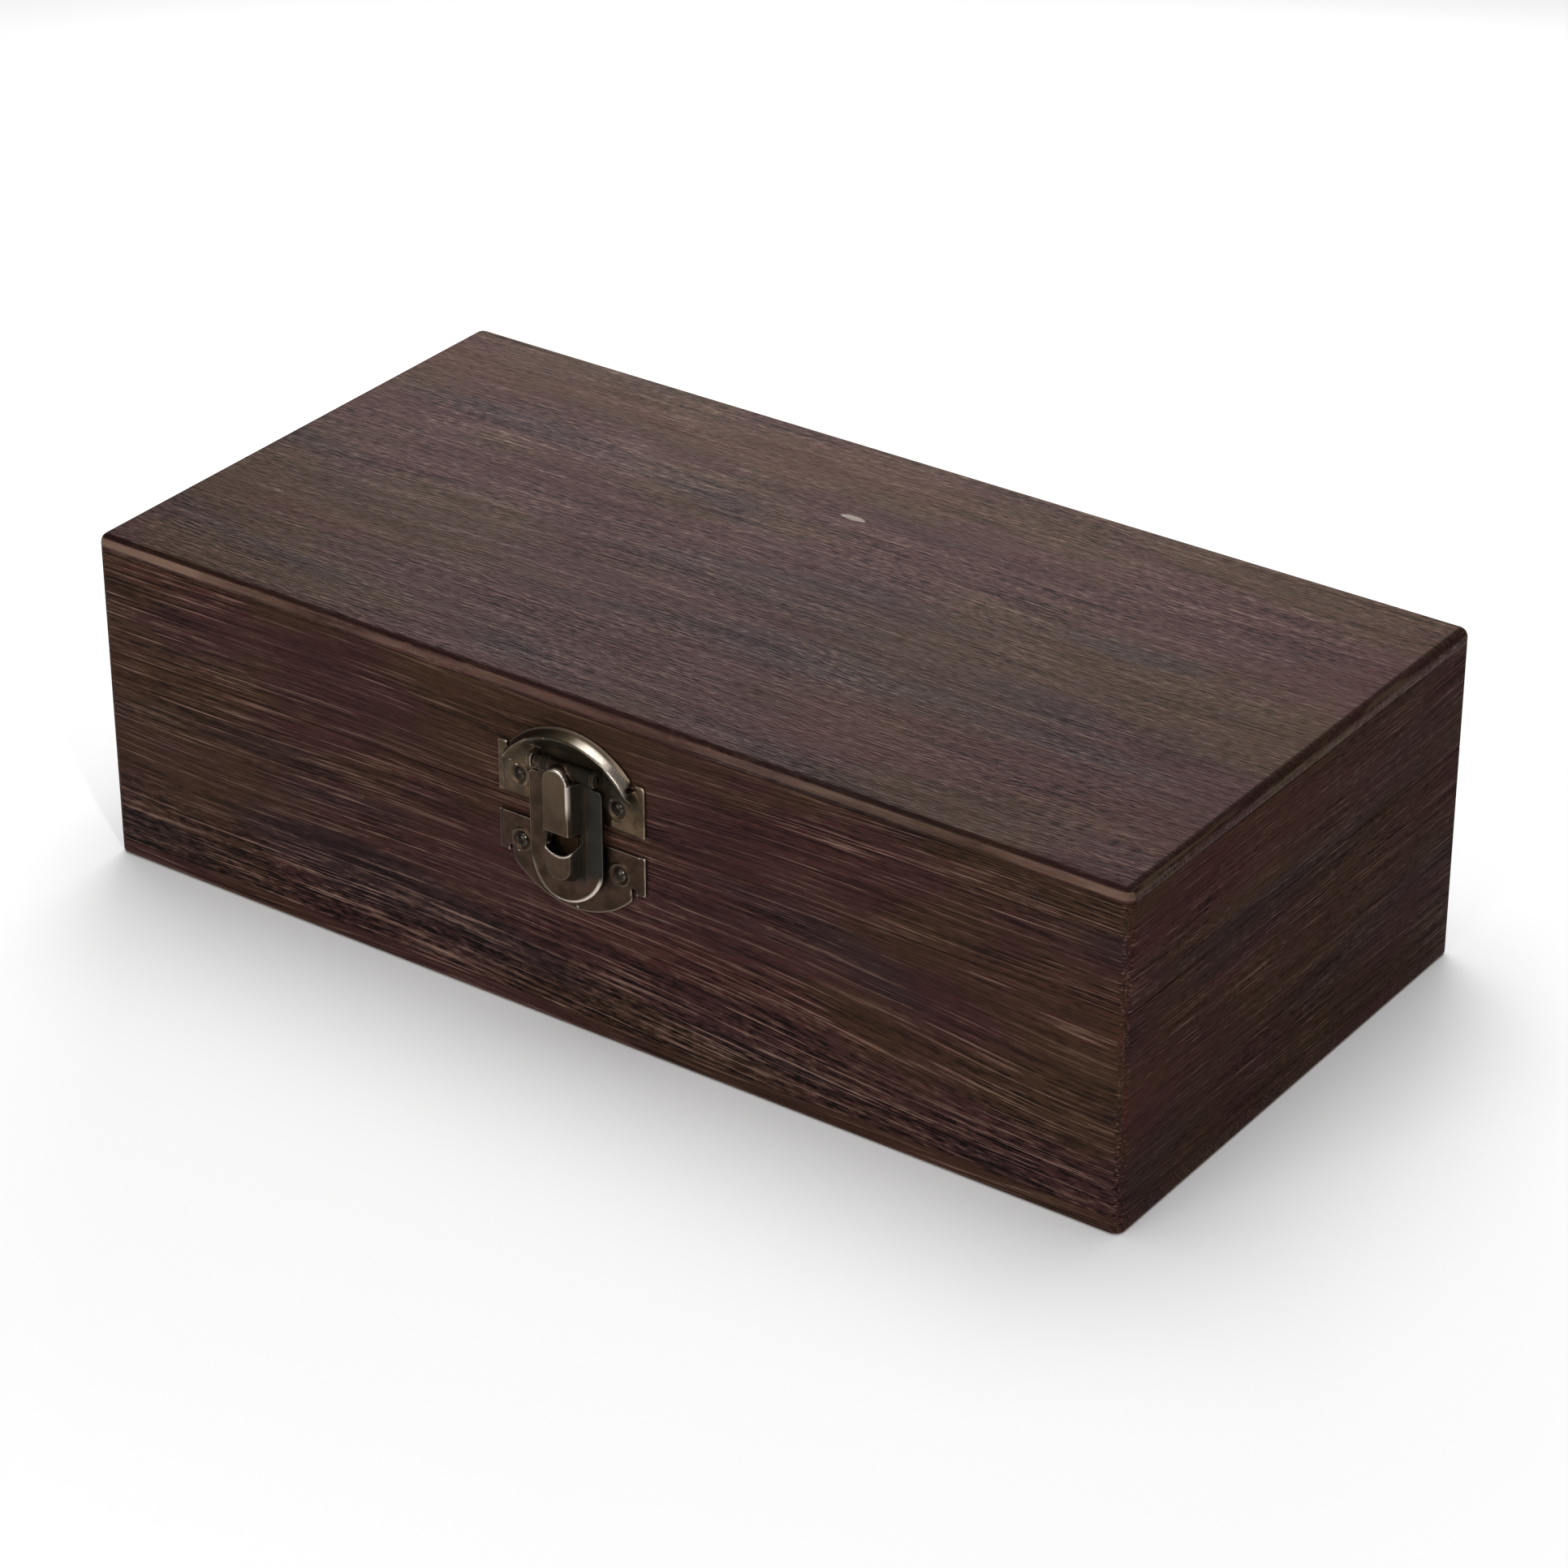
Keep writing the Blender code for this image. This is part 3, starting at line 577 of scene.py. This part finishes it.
def hasp_wear_and_light(f, colour, here):
    """The hasp: a painted grey reflection on the right side, lighter ridge, painted highlights on edges to
    the right, and painted shade down the walls and by the pin.
    """
    across, up, out = latch_place(f, here)
    wide = f.maths("ABSOLUTE", across)
    # painted reflection: the flange right of the ridge is greyed as if it mirrored grey light
    side = f.both(f.ramp(across, 0.0056, 0.0066, 0, 0.85), f.ramp(up, -0.0125, -0.009))
    colour = f.blend(side, colour, (0.025, 0.0255, 0.0225, 1))
    front = f.both(f.ramp(out, 0.0056, 0.0063, 0, 0.7), f.ramp(up, -0.001, 0.013, 0.30, 1.0))
    colour = f.blend(front, colour, (0.104, 0.073, 0.046, 1))

    def line_at(place):
        """A thin bright line where place is half the ridge's width."""
        return f.ramp(f.maths("ABSOLUTE", f.maths("SUBTRACT", place, 0.0033)), 0.0006, 0.0002)

    # painted highlights, brightest to the right: the ridge's right edge near the top, its round top, the
    # slot's lower edge and the rim of the lower end
    from_arch = f.distance(across, up, RIDGE_ARCH * MM)
    edge = f.both(line_at(across), f.ramp(up, 0.003, 0.008), f.ramp(up, 0.0127, 0.0122))
    arch = f.both(line_at(from_arch), f.ramp(across, -0.002, 0.001), f.ramp(up, 0.0122, 0.0127))
    edge = f.both(f.maths("MAXIMUM", edge, arch), f.ramp(out, 0.0054, 0.0060))
    sill = f.both(f.ramp(f.distance(across, up, SLOT_CENTRE * MM), 0.0057, 0.0052),
                  f.ramp(up, -0.0042, -0.0050), f.ramp(out, 0.0046, 0.0054),
                  f.ramp(across, -0.0025, 0.0010, 0.15, 1.0))
    rim = f.both(f.ramp(f.distance(across, up, -0.0088), 0.0089, 0.0094), f.ramp(up, -0.0100, -0.0125),
                 f.ramp(across, -0.004, 0.002, 0.2, 1.0))
    bright = f.maths("MAXIMUM", edge, f.maths("MAXIMUM", sill, rim))
    colour = f.blend(f.both(bright, 0.85), colour, (0.64, 0.56, 0.48, 1))

    # painted shade: a dark, dull colour down the ridge's side walls and round its head by the pin
    wall = f.both(f.ramp(wide, 0.0033, 0.0037), f.ramp(out, 0.0060, 0.0054),
                  f.ramp(wide, 0.0060, 0.0053), f.ramp(up, -0.0140, -0.0115))
    head = f.both(f.ramp(up, 0.0108, 0.0116), f.ramp(across, -0.001, 0.002),
                  f.ramp(from_arch, 0.0035, 0.0039))
    dirt_and_shade = f.both(f.maths("MAXIMUM", wall, head), 0.85)
    return f.blend(dirt_and_shade, colour, (0.0095, 0.0080, 0.0045, 1)), bright, dirt_and_shade


INSIDE = inner_wood("stained wood inside")
INSIDE_ENDS = inner_wood("stained wood inside ends", "y")
UPPER_BRONZE = aged_bronze("aged bronze upper plate", (0.118, 0.078, 0.046), wear_and_light=upper_wear_and_light)
LOWER_BRONZE = aged_bronze("aged bronze lower plate", (0.060, 0.035, 0.023), wear_and_light=lower_wear_and_light)
HASP_BRONZE = aged_bronze("aged bronze hasp", (0.062, 0.038, 0.025), wear_and_light=hasp_wear_and_light)
HINGE_BRONZE = aged_bronze("aged bronze hinges", (0.080, 0.056, 0.036), (0.40, 0.34, 0.26), 0.42)
NAIL_BRONZE = aged_bronze("bronze nail heads", (0.022, 0.017, 0.010), (0.45, 0.40, 0.33), 0.26)
PIN_BRONZE = aged_bronze("bronze pins", (0.024, 0.018, 0.011), (0.10, 0.085, 0.06), 0.40)


# ---- boards and panels ----

def mark_inside(piece, test):
    """Give the faces that pass a test the second finish."""
    for face in piece.data.polygons:
        face.material_index = 1 if test(face) else 0


def mitred_board(name, body, slot, node, out, low, high, outside, inside):
    """One side of a frame: a rounded block sawn down to a mitred board, with its outer edges eased.

    out is the way its outer face looks.
    """
    out = Vector((*out, 0))
    run = Vector((-out.y, out.x, 0))
    piece = block(name, (LEFT, FRONT, low), (RIGHT, BACK, high))
    bevel(piece, lambda e: abs(e.verts[0].co.z - e.verts[1].co.z) > 0.01, CORNER, 6)
    half = RIGHT if out.x else BACK
    reach = BACK if out.x else RIGHT
    saw(piece, out * (half - WALL), -out)
    for end in (run, -run):
        saw(piece, out * half + end * reach, end - out)

    def outer_rim(edge):
        level = edge.verts[0].co.z
        flat = abs(level - edge.verts[1].co.z) < 1e-6
        return flat and all(v.co.dot(out) > half - CORNER - 1e-5 for v in edge.verts)

    bevel(piece, outer_rim, 0.00018, 2)
    middle = half - WALL / 2

    def hidden(face):
        return face.center.dot(out) < middle and abs(face.normal.dot(out)) > 0.5

    deliver(smooth(piece), body, slot, (outside, inside), node)
    mark_inside(piece, lambda face: hidden(face) or (abs(face.normal.z) > 0.95 and face.area > 1e-4))
    return piece


def panel(name, body, slot, node, low, high, round_level, width, outside, inside, covered):
    """A thin board over the whole plan, with one rounded rim."""
    piece = block(name, (LEFT, FRONT, low), (RIGHT, BACK, high))
    bevel(piece, lambda e: abs(e.verts[0].co.z - e.verts[1].co.z) > 0.001, CORNER, 6)
    bevel(piece, lambda e: all(abs(v.co.z - round_level) < 1e-6 for v in e.verts), width, 5)
    other = low if round_level == high else high
    bevel(piece, lambda e: all(abs(v.co.z - other) < 1e-6 for v in e.verts), 0.00025, 2)
    deliver(smooth(piece), body, slot, (outside, inside), node)
    mark_inside(piece, covered)
    return piece


SIDES = {
    "front": ((0, -1), burnt_wood("burnt wood front", shift=(0, 0.31, 0), sweep=0.012, strokes=1.1,
                                  dashes=0.5, low=0.6)),
    "back": ((0, 1), burnt_wood("burnt wood back", shift=(0.4, 0.8, 0.3), dashes=0.3)),
    # painted shade: the right end's colour is scaled down towards the back, against the light that falls
    # there
    "right": ((1, 0), burnt_wood("burnt wood right end", "y", (0.7, 0.2, 0.5), tone=0.95, strokes=0.8,
                                 dashes=0.7, shine=0.02, painted_light_gradient=(0, 0.7 + FRONT, 0.7 + BACK, 1.05, 0.86))),
    "left": ((-1, 0), burnt_wood("burnt wood left end", "y", (0.1, 0.9, 0.2), tone=0.95, strokes=0.8,
                                 dashes=0.6, shine=0.02)),
}
for side, (out, outside) in SIDES.items():
    inside = INSIDE if side in ("front", "back") else INSIDE_ENDS
    for half, body, low, high in (("caddy", "base", FOOT_TOP, SPLIT), ("lid", "lid", LID_LOW, PANEL_UNDER)):
        mitred_board(
            f"{half}_{side}", body, "burnt_wood_boards", f"{body}_{side}_board", out, low, high,
            outside, inside
        )

# painted sheen: the top's colour is scaled up towards the back, standing in for the back lamp's sheen
TOP_WOOD = burnt_wood("burnt wood top", strokes=0.45, dashes=1.0, flat=True, shine=0.045, dull=0.46,
                      scorch=charred_rim, painted_light_gradient=(1, FRONT, BACK, 0.95, 1.36),
                      marks=(front_edge, right_edge, chip))
FOOT_WOOD = burnt_wood("burnt wood foot", dashes=0.3, marks=(foot_edge,))
panel("lid_top", "lid", "burnt_wood_panels", "lid_top_panel", PANEL_UNDER, TOP, TOP, 0.0022,
      TOP_WOOD, INSIDE, lambda face: face.normal.z < -0.95)
panel("caddy_foot", "base", "burnt_wood_panels", "base_bottom_panel", 0, FOOT_TOP, 0, 0.0008,
      FOOT_WOOD, INSIDE, lambda face: abs(face.normal.z) > 0.95)


# ---- latch ----

FACE = (pi / 2, 0, 0)
LENGTHWAYS = (0, pi / 2, 0)


def at(x, up, out=0.0):
    """A point by the latch's middle, in millimetres: along the box, up, and out of its front."""
    return Vector((LATCH_X + x * MM, FRONT - out * MM, LATCH_Z + up * MM))


def slab(name, x0, x1, up0, up1, out0, out1):
    return block(name, at(x0, up0, out1), at(x1, up1, out0))


def disc(name, x, up, radius, out0, out1, sides=96):
    middle = at(x, up, (out0 + out1) / 2)
    return round_bar(name, middle, radius * MM, (out1 - out0) * MM, FACE, sides)


def eared_plate(name, centre, radius, edge, ear_end, sign):
    """Flat blank of a latch plate: a round sheet cut straight, two square ears and a nick beside each."""
    back, front = 0.05, 0.95
    piece = disc(name, 0, centre, radius, back, front, 160)
    saw(piece, at(0, sign * edge), (0, 0, -sign))
    ends = sorted((sign * edge, sign * ear_end))
    for side in (-1, 1):
        saw(piece, at(side * EAR_REACH, 0), (side, 0, 0))
    ears = slab("ears", -EAR_REACH, EAR_REACH, *ends, back, front)
    top = LATCH_Z + sign * ear_end * MM
    bevel(ears, lambda e: corner_at(e, top), 0.0007, 3)
    combine(piece, ears, "UNION")
    for side in (-1, 1):
        nick_ends = sorted((sign * (ear_end - 1.4), sign * 24))
        place = side * NICK_PLACE
        nick = slab("nick", place - 0.55, place + 0.55, *nick_ends, back - 1, front + 1)
        combine(piece, nick, "DIFFERENCE")
    return piece


def nail_seat(x, up, nail_up):
    """A raised ring with a dished middle round each nail."""
    away = hypot(abs(x) - NAIL_SPREAD, up - nail_up)
    ring = 0.42 * step(away, 3.3, 2.7) * step(away, 1.7, 2.4)
    return ring - 0.12 * step(away, 1.9, 1.2)


def upper_shape(x, up):
    """Pressing of the upper plate: a shoulder under the arc, dished down to the hasp, and a raised field."""
    r = hypot(x, up - ARC_RISE)
    field_side = step(abs(x), 18.6, 17.4) * step(up, 1.9, 3.0)
    field_top = step(r, ARC - 0.6, ARC - 1.6) if up > 9 else 1
    pocket = step(abs(x), 11.8, 10.0) * step(up, 18.6, 17.0)
    field = 0.65 * field_side * field_top * (1 - pocket)
    shoulder = 2.1 * step(r, ARC - 0.25, ARC - 1.5) * step(r, ARC - 5.0, ARC - 1.4) * step(up, 8.5, 13.0)
    return field + shoulder + nail_seat(x, up, NAIL_RISE) * field_side


def lower_shape(x, up):
    """Pressing of the lower plate: a low raised field and the nail seats."""
    r = hypot(x, up)
    field = step(abs(x), 19.3, 18.5) * step(r, 21.3, 20.6)
    return 0.18 * field + nail_seat(x, up, NAIL_DROP)


def make_upper_plate():
    piece = eared_plate("latch_upper_plate", ARC_RISE, ARC, 1.9, 14.7, 1)
    soften(piece, 0.00020, 2)
    press(piece, upper_shape)
    soften(piece, 0.00020, 2)
    lug_back, lug_front = 0.5, PIVOT_OUT / MM + 1.7
    for side in (-1, 1):
        ends = sorted((side * 7.8, side * 9.2))
        lug = slab("lug", *ends, PIVOT_RISE / MM - 1.7, PIVOT_RISE / MM + 1.7, lug_back, lug_front)
        bevel(lug, lambda e: abs(e.verts[0].co.x - e.verts[1].co.x) > 0.0005
              and all(v.co.y < FRONT - 0.002 for v in e.verts), 0.0011, 5)
        combine(piece, lug, "UNION")
    soften(piece, 0.00020, 4)
    return deliver(smooth(piece, 60), "lid", "aged_bronze_latch", (UPPER_BRONZE,), "latch_lid_plate")


def make_catch_plate():
    piece = eared_plate("latch_lower_plate", 0, 22.0, 2.8, 12.7, -1)
    soften(piece, 0.00020, 2)
    press(piece, lower_shape)
    catch = slab("catch", -2.4, 2.4, -6.1, -2.9, 0.5, 1.8)
    high = at(0, -4.5).z
    bevel(catch, lambda e: all(v.co.z > high and v.co.y < FRONT - 0.001 for v in e.verts), 0.0009, 4)
    combine(piece, catch, "UNION")
    soften(piece, 0.00021, 3)
    return deliver(smooth(piece, 60), "base", "aged_bronze_latch", (LOWER_BRONZE,), "latch_catch_plate")


def taper_front(piece, share):
    """Narrow a ridge towards its front face."""
    bm = work_on(piece, "FACE")
    pick(bm, bm.faces, lambda face: face.normal.y < -0.9)
    middle = at(0, 0)
    bpy.ops.transform.resize(value=(share, 1, 1), center_override=middle)
    let_go()
    return piece


def ridge(name, foot, front, up0, up1, out0, out1):
    """A pressed ridge with leaning sides."""
    piece = slab(name, -foot / 2, foot / 2, up0, up1, out0, out1)
    return taper_front(piece, front / foot)


def make_hasp():
    back, sheet = 2.0, 0.9
    piece = slab("latch_hasp", -10, 10, HASP_FOOT, HASP_SHOULDER, back, back + sheet)
    bevel(piece, lambda e: corner_at(e, at(0, HASP_FOOT).z), 0.0095, 16)
    bevel(piece, lambda e: corner_at(e, at(0, HASP_SHOULDER).z), 0.0012, 4)
    neck = slab("neck", -7.3, 7.3, 10, PIVOT_RISE / MM - 0.7, back, back + sheet)
    combine(piece, neck, "UNION")
    # ridge with an arched top, and a lower one with a round end
    combine(piece, ridge("ridge", RIDGE_FOOT, RIDGE_FRONT, -3.0, RIDGE_ARCH, back + 0.1, 6.6), "UNION")
    combine(piece, cone_bar("arch", at(0, RIDGE_ARCH, 4.35), 0.0036, 0.0033, 0.0045, FACE), "UNION")
    lower = ridge("lower_ridge", RIDGE_FOOT, RIDGE_FRONT, RIDGE_END, -2.9, back + 0.1, 6.2)
    combine(piece, lower, "UNION")
    combine(piece, cone_bar("lower_end", at(0, RIDGE_END, 4.15), 0.0054, 0.0034, 0.0041, FACE), "UNION")
    combine(piece, round_bar("knuckle", PIVOT, 0.0016, 0.0150, LENGTHWAYS, 40), "UNION")
    soften(piece, 0.00018, 1)
    # hollow behind
    combine(piece, ridge("ridge_hollow", 9.2, 5.2, -6.0, 11.4, 1.0, 5.8), "DIFFERENCE")
    combine(piece, ridge("lower_hollow", 9.2, 5.2, RIDGE_END, -5.9, 1.0, 5.4), "DIFFERENCE")
    combine(piece, cone_bar("end_hollow", at(0, RIDGE_END, 3.2), 0.0046, 0.0026, 0.0044, FACE), "DIFFERENCE")
    # slot for the catch: straight above, curved below, open at the ridge's sides
    slot = disc("slot", 0, SLOT_CENTRE, 5.0, back + sheet + 0.1, 8.0, 64)
    saw(slot, at(0, SLOT_TOP), (0, 0, 1))
    combine(piece, slot, "DIFFERENCE")
    through = disc("through", 0, SLOT_CENTRE, 4.2, 1.0, 8.0, 64)
    saw(through, at(0, SLOT_TOP), (0, 0, 1))
    combine(piece, through, "DIFFERENCE")
    combine(piece, round_bar("bore", PIVOT, 0.0009, 0.02, LENGTHWAYS, 32), "DIFFERENCE")
    soften(piece, 0.00018, 4)

    def curl(x, up):
        """The lower end lifts away from the box."""
        return 0.018 * max(0, -9.0 - up) ** 2

    press(piece, curl)
    return deliver(smooth(piece, 60), "hasp", "aged_bronze_latch", (HASP_BRONZE,), "hasp")


def make_pin():
    piece = round_bar("hasp_pin", PIVOT, 0.0007, 0.0186, LENGTHWAYS, 32)
    bevel(piece, same_x, 0.00025, 3)
    return deliver(smooth(piece), "lid", "bronze_pins", (PIN_BRONZE,), "hasp_pivot_pin")


def domed_nail(name, x, up, seat, body, node):
    """A round-headed nail: half a ball pressed flat, its shank drawn out behind."""
    let_go()
    bpy.ops.mesh.primitive_uv_sphere_add(segments=32, ring_count=16, radius=0.00175, location=at(x, up, seat),
                                         rotation=FACE)
    piece = named(name)
    work_on(piece, "VERT")
    bpy.ops.mesh.select_all(action="SELECT")
    bpy.ops.transform.resize(value=(1, 0.72, 1), center_override=at(x, up, seat))
    let_go()
    saw(piece, at(x, up, seat), (0, 1, 0))
    bm = work_on(piece, "FACE")
    pick(bm, bm.faces, lambda face: face.normal.y > 0.9 and face.calc_area() > 5e-6)
    bpy.ops.mesh.inset(thickness=0.00110, depth=0)
    bpy.ops.mesh.extrude_region_move(TRANSFORM_OT_translate={"value": (0, 0.0058, 0)})
    let_go()
    return deliver(smooth(piece, 50), body, "bronze_fixings", (NAIL_BRONZE,), node)


make_upper_plate()
make_catch_plate()
make_hasp()
make_pin()
for side, x in (("left", -NAIL_SPREAD), ("right", NAIL_SPREAD)):
    domed_nail(f"upper_nail_{side}", x, NAIL_RISE, 1.30, "lid", f"latch_lid_nail_{side}")
    domed_nail(f"lower_nail_{side}", x, NAIL_DROP, 1.00, "base", f"latch_base_nail_{side}")


# ---- hinges ----

LEAF_HALF = 0.0125        # half a leaf's width, and how far it reaches from the axis
SCREW_OFFSET = 0.008
SCREW_RISE = 0.0078
HINGE_PLACE = 0.085


def make_leaf(name, node, body, centre, up, ends):
    """A hinge leaf lying on the back: a cut sheet with sunk holes and rolled knuckles round the pin."""
    axis = Vector((centre, HINGE_AXIS.y, HINGE_AXIS.z))
    low, high = sorted((HINGE_AXIS.z + up * 0.0026, HINGE_AXIS.z + up * LEAF_HALF))
    piece = block(name, (centre - LEAF_HALF, BACK + 0.00005, low), (centre + LEAF_HALF, BACK + 0.0015, high))
    far = HINGE_AXIS.z + up * LEAF_HALF
    bevel(piece, lambda e: corner_at(e, far), 0.0018, 6)
    spans = [(-LEAF_HALF, -0.0051), (0.0051, LEAF_HALF)] if ends else [(-0.0048, 0.0048)]
    for left, right in spans:
        middle = axis + Vector(((left + right) / 2, 0, 0))
        near, beyond = sorted((HINGE_AXIS.z - up * 0.0002, HINGE_AXIS.z + up * 0.0040))
        tab = block("tab", (centre + left + 0.0001, BACK + 0.0005, near),
                    (centre + right - 0.0001, BACK + 0.0014, beyond))
        combine(piece, tab, "UNION")
        knuckle = round_bar("knuckle", middle, 0.0022, right - left, LENGTHWAYS, 48)
        combine(piece, knuckle, "UNION")
    for offset in (-SCREW_OFFSET, SCREW_OFFSET):
        hole = Vector((centre + offset, BACK + 0.0012, HINGE_AXIS.z + up * SCREW_RISE))
        sink = cone_bar("sink", hole, 0.0009, 0.0023, 0.0016, (-pi / 2, 0, 0), 32)
        combine(piece, sink, "DIFFERENCE")
    bore = round_bar("bore", axis, 0.00100, 0.03, LENGTHWAYS, 32)
    combine(piece, bore, "DIFFERENCE")
    ease(piece, 0.00018, 2)
    return deliver(smooth(piece, 35), body, "aged_bronze_hinges", (HINGE_BRONZE,), node)


def make_hinge_pin(name, node, centre):
    piece = round_bar(name, Vector((centre, HINGE_AXIS.y, HINGE_AXIS.z)), 0.0009, 0.0258, LENGTHWAYS, 32)
    bevel(piece, same_x, 0.0003, 3)
    return deliver(smooth(piece), "base", "bronze_pins", (HINGE_BRONZE,), node)


def make_screw():
    """One slotted screw at the origin, its head towards +Y; the hinges' screws are copied from it."""
    let_go()
    bpy.ops.mesh.primitive_uv_sphere_add(segments=32, ring_count=16, radius=0.0020, rotation=(-pi / 2, 0, 0))
    piece = named("screw")
    work_on(piece, "VERT")
    bpy.ops.mesh.select_all(action="SELECT")
    bpy.ops.transform.resize(value=(1, 0.32, 1), center_override=(0, 0, 0))
    let_go()
    saw(piece, (0, 0, 0), (0, -1, 0))
    bm = work_on(piece, "FACE")
    pick(bm, bm.faces, lambda face: face.normal.y < -0.9 and face.calc_area() > 5e-6)
    bpy.ops.mesh.inset(thickness=0.00115, depth=0)
    bpy.ops.mesh.extrude_region_move(TRANSFORM_OT_translate={"value": (0, -0.0064, 0)})
    let_go()
    slot = block("slot", (-0.00024, 0.0001, -0.003), (0.00024, 0.0012, 0.003))
    combine(piece, slot, "DIFFERENCE")
    return ease(piece, 0.00006, 1)


def copy_screw(model, name, place, turn, body, node):
    piece = model.copy()
    piece.data = model.data.copy()
    piece.name = name
    bpy.context.scene.collection.objects.link(piece)
    piece.data.transform(Matrix.Translation(place) @ Matrix.Rotation(turn, 4, "Y"))
    return deliver(smooth(piece, 35), body, "bronze_fixings", (NAIL_BRONZE,), node)


screw_model = make_screw()
turns = iter((0.5, 1.9, 2.7, 1.2, 0.1, 2.2, 1.6, 0.9))
for side, centre in (("left", -HINGE_PLACE), ("right", HINGE_PLACE)):
    make_leaf(f"hinge_{side}_base", f"{side}_hinge_base_leaf", "base", centre, -1, True)
    make_leaf(f"hinge_{side}_lid", f"{side}_hinge_lid_leaf", "lid", centre, 1, False)
    make_hinge_pin(f"hinge_{side}_pin", f"{side}_hinge_pin", centre)
    for half, up in (("base", -1), ("lid", 1)):
        for end, offset in (("left", -SCREW_OFFSET), ("right", SCREW_OFFSET)):
            place = Vector((centre + offset, BACK + 0.00150, HINGE_AXIS.z + up * SCREW_RISE))
            name = f"{side}_{half}_screw_{end}"
            copy_screw(screw_model, name, place, next(turns), half, f"{side}_hinge_{half}_screw_{end}")
bpy.data.objects.remove(screw_model)


# ---- studio ----

def matte(name, colour):
    f = Finish(name)
    f.shader.inputs["Base Color"].default_value = (*colour, 1)
    f.shader.inputs["Roughness"].default_value = 0.95
    f.shader.inputs["Specular IOR Level"].default_value = 0.1
    return f.material


def soft_light(name, place, target, size, power):
    let_go()
    bpy.ops.object.light_add(type="AREA", location=place)
    light = bpy.context.object
    light.name = name
    light.data.shape = "RECTANGLE"
    light.data.size, light.data.size_y = size
    light.data.energy = power
    light.rotation_mode = "QUATERNION"
    light.rotation_quaternion = (Vector(place) - Vector(target)).to_track_quat("Z", "Y")
    return light


let_go()
bpy.ops.mesh.primitive_plane_add(size=14, location=(0, 0, -0.0002))
floor = bpy.context.object
floor.name = "floor"
floor.data.materials.append(matte("pale floor", (0.93, 0.93, 0.93)))

world = bpy.data.worlds.new("studio")
bpy.context.scene.world = world
world.use_nodes = True
world.node_tree.nodes["Background"].inputs["Color"].default_value = (1, 1, 1, 1)
world.node_tree.nodes["Background"].inputs["Strength"].default_value = 0.22
middle = Vector((0, 0, TOP / 2))
soft_light("overhead", (-0.2, 0.3, 1.6), middle, (1.4, 1.4), 19)
soft_light("back sheen", (-0.26, 0.46, 0.27), (0, 0.05, TOP), (0.5, 0.12), 1.6)
soft_light("front fill", (-0.1, -1.5, 0.6), middle, (1.0, 0.7), 8)
soft_light("edge strip", (0.62, -0.55, 0.85), (LATCH_X, FRONT, LATCH_Z), (0.05, 0.3), 2.6)

# camera
VIEW_TURN = radians(35.54)
VIEW_RISE = radians(29.38)
VIEW_ROLL = radians(-0.11)
VIEW_DISTANCE = 4.1191    # in lengths of the box, as are the next two
VIEW_SHIFT = 0.0097
VIEW_DROP = 0.0343
length = RIGHT - LEFT
view_from = Vector((sin(VIEW_TURN) * cos(VIEW_RISE), -cos(VIEW_TURN) * cos(VIEW_RISE), sin(VIEW_RISE)))
right_way = Vector((cos(VIEW_TURN), sin(VIEW_TURN), 0))
up_way = view_from.cross(right_way)
camera_right = right_way * cos(VIEW_ROLL) + up_way * sin(VIEW_ROLL)
camera_up = up_way * cos(VIEW_ROLL) - right_way * sin(VIEW_ROLL)
eye = middle + length * (view_from * VIEW_DISTANCE + camera_right * VIEW_SHIFT - camera_up * VIEW_DROP)
let_go()
bpy.ops.object.camera_add(location=eye)
camera = bpy.context.object
camera.rotation_mode = "QUATERNION"
camera.rotation_quaternion = Matrix((camera_right, camera_up, view_from)).transposed().to_quaternion()
camera.data.lens = 115.34
camera.data.sensor_width = 36
camera.data.clip_start = 0.05
camera.data.clip_end = 50
bpy.context.scene.camera = camera
bpy.context.scene.view_settings.view_transform = "Standard"
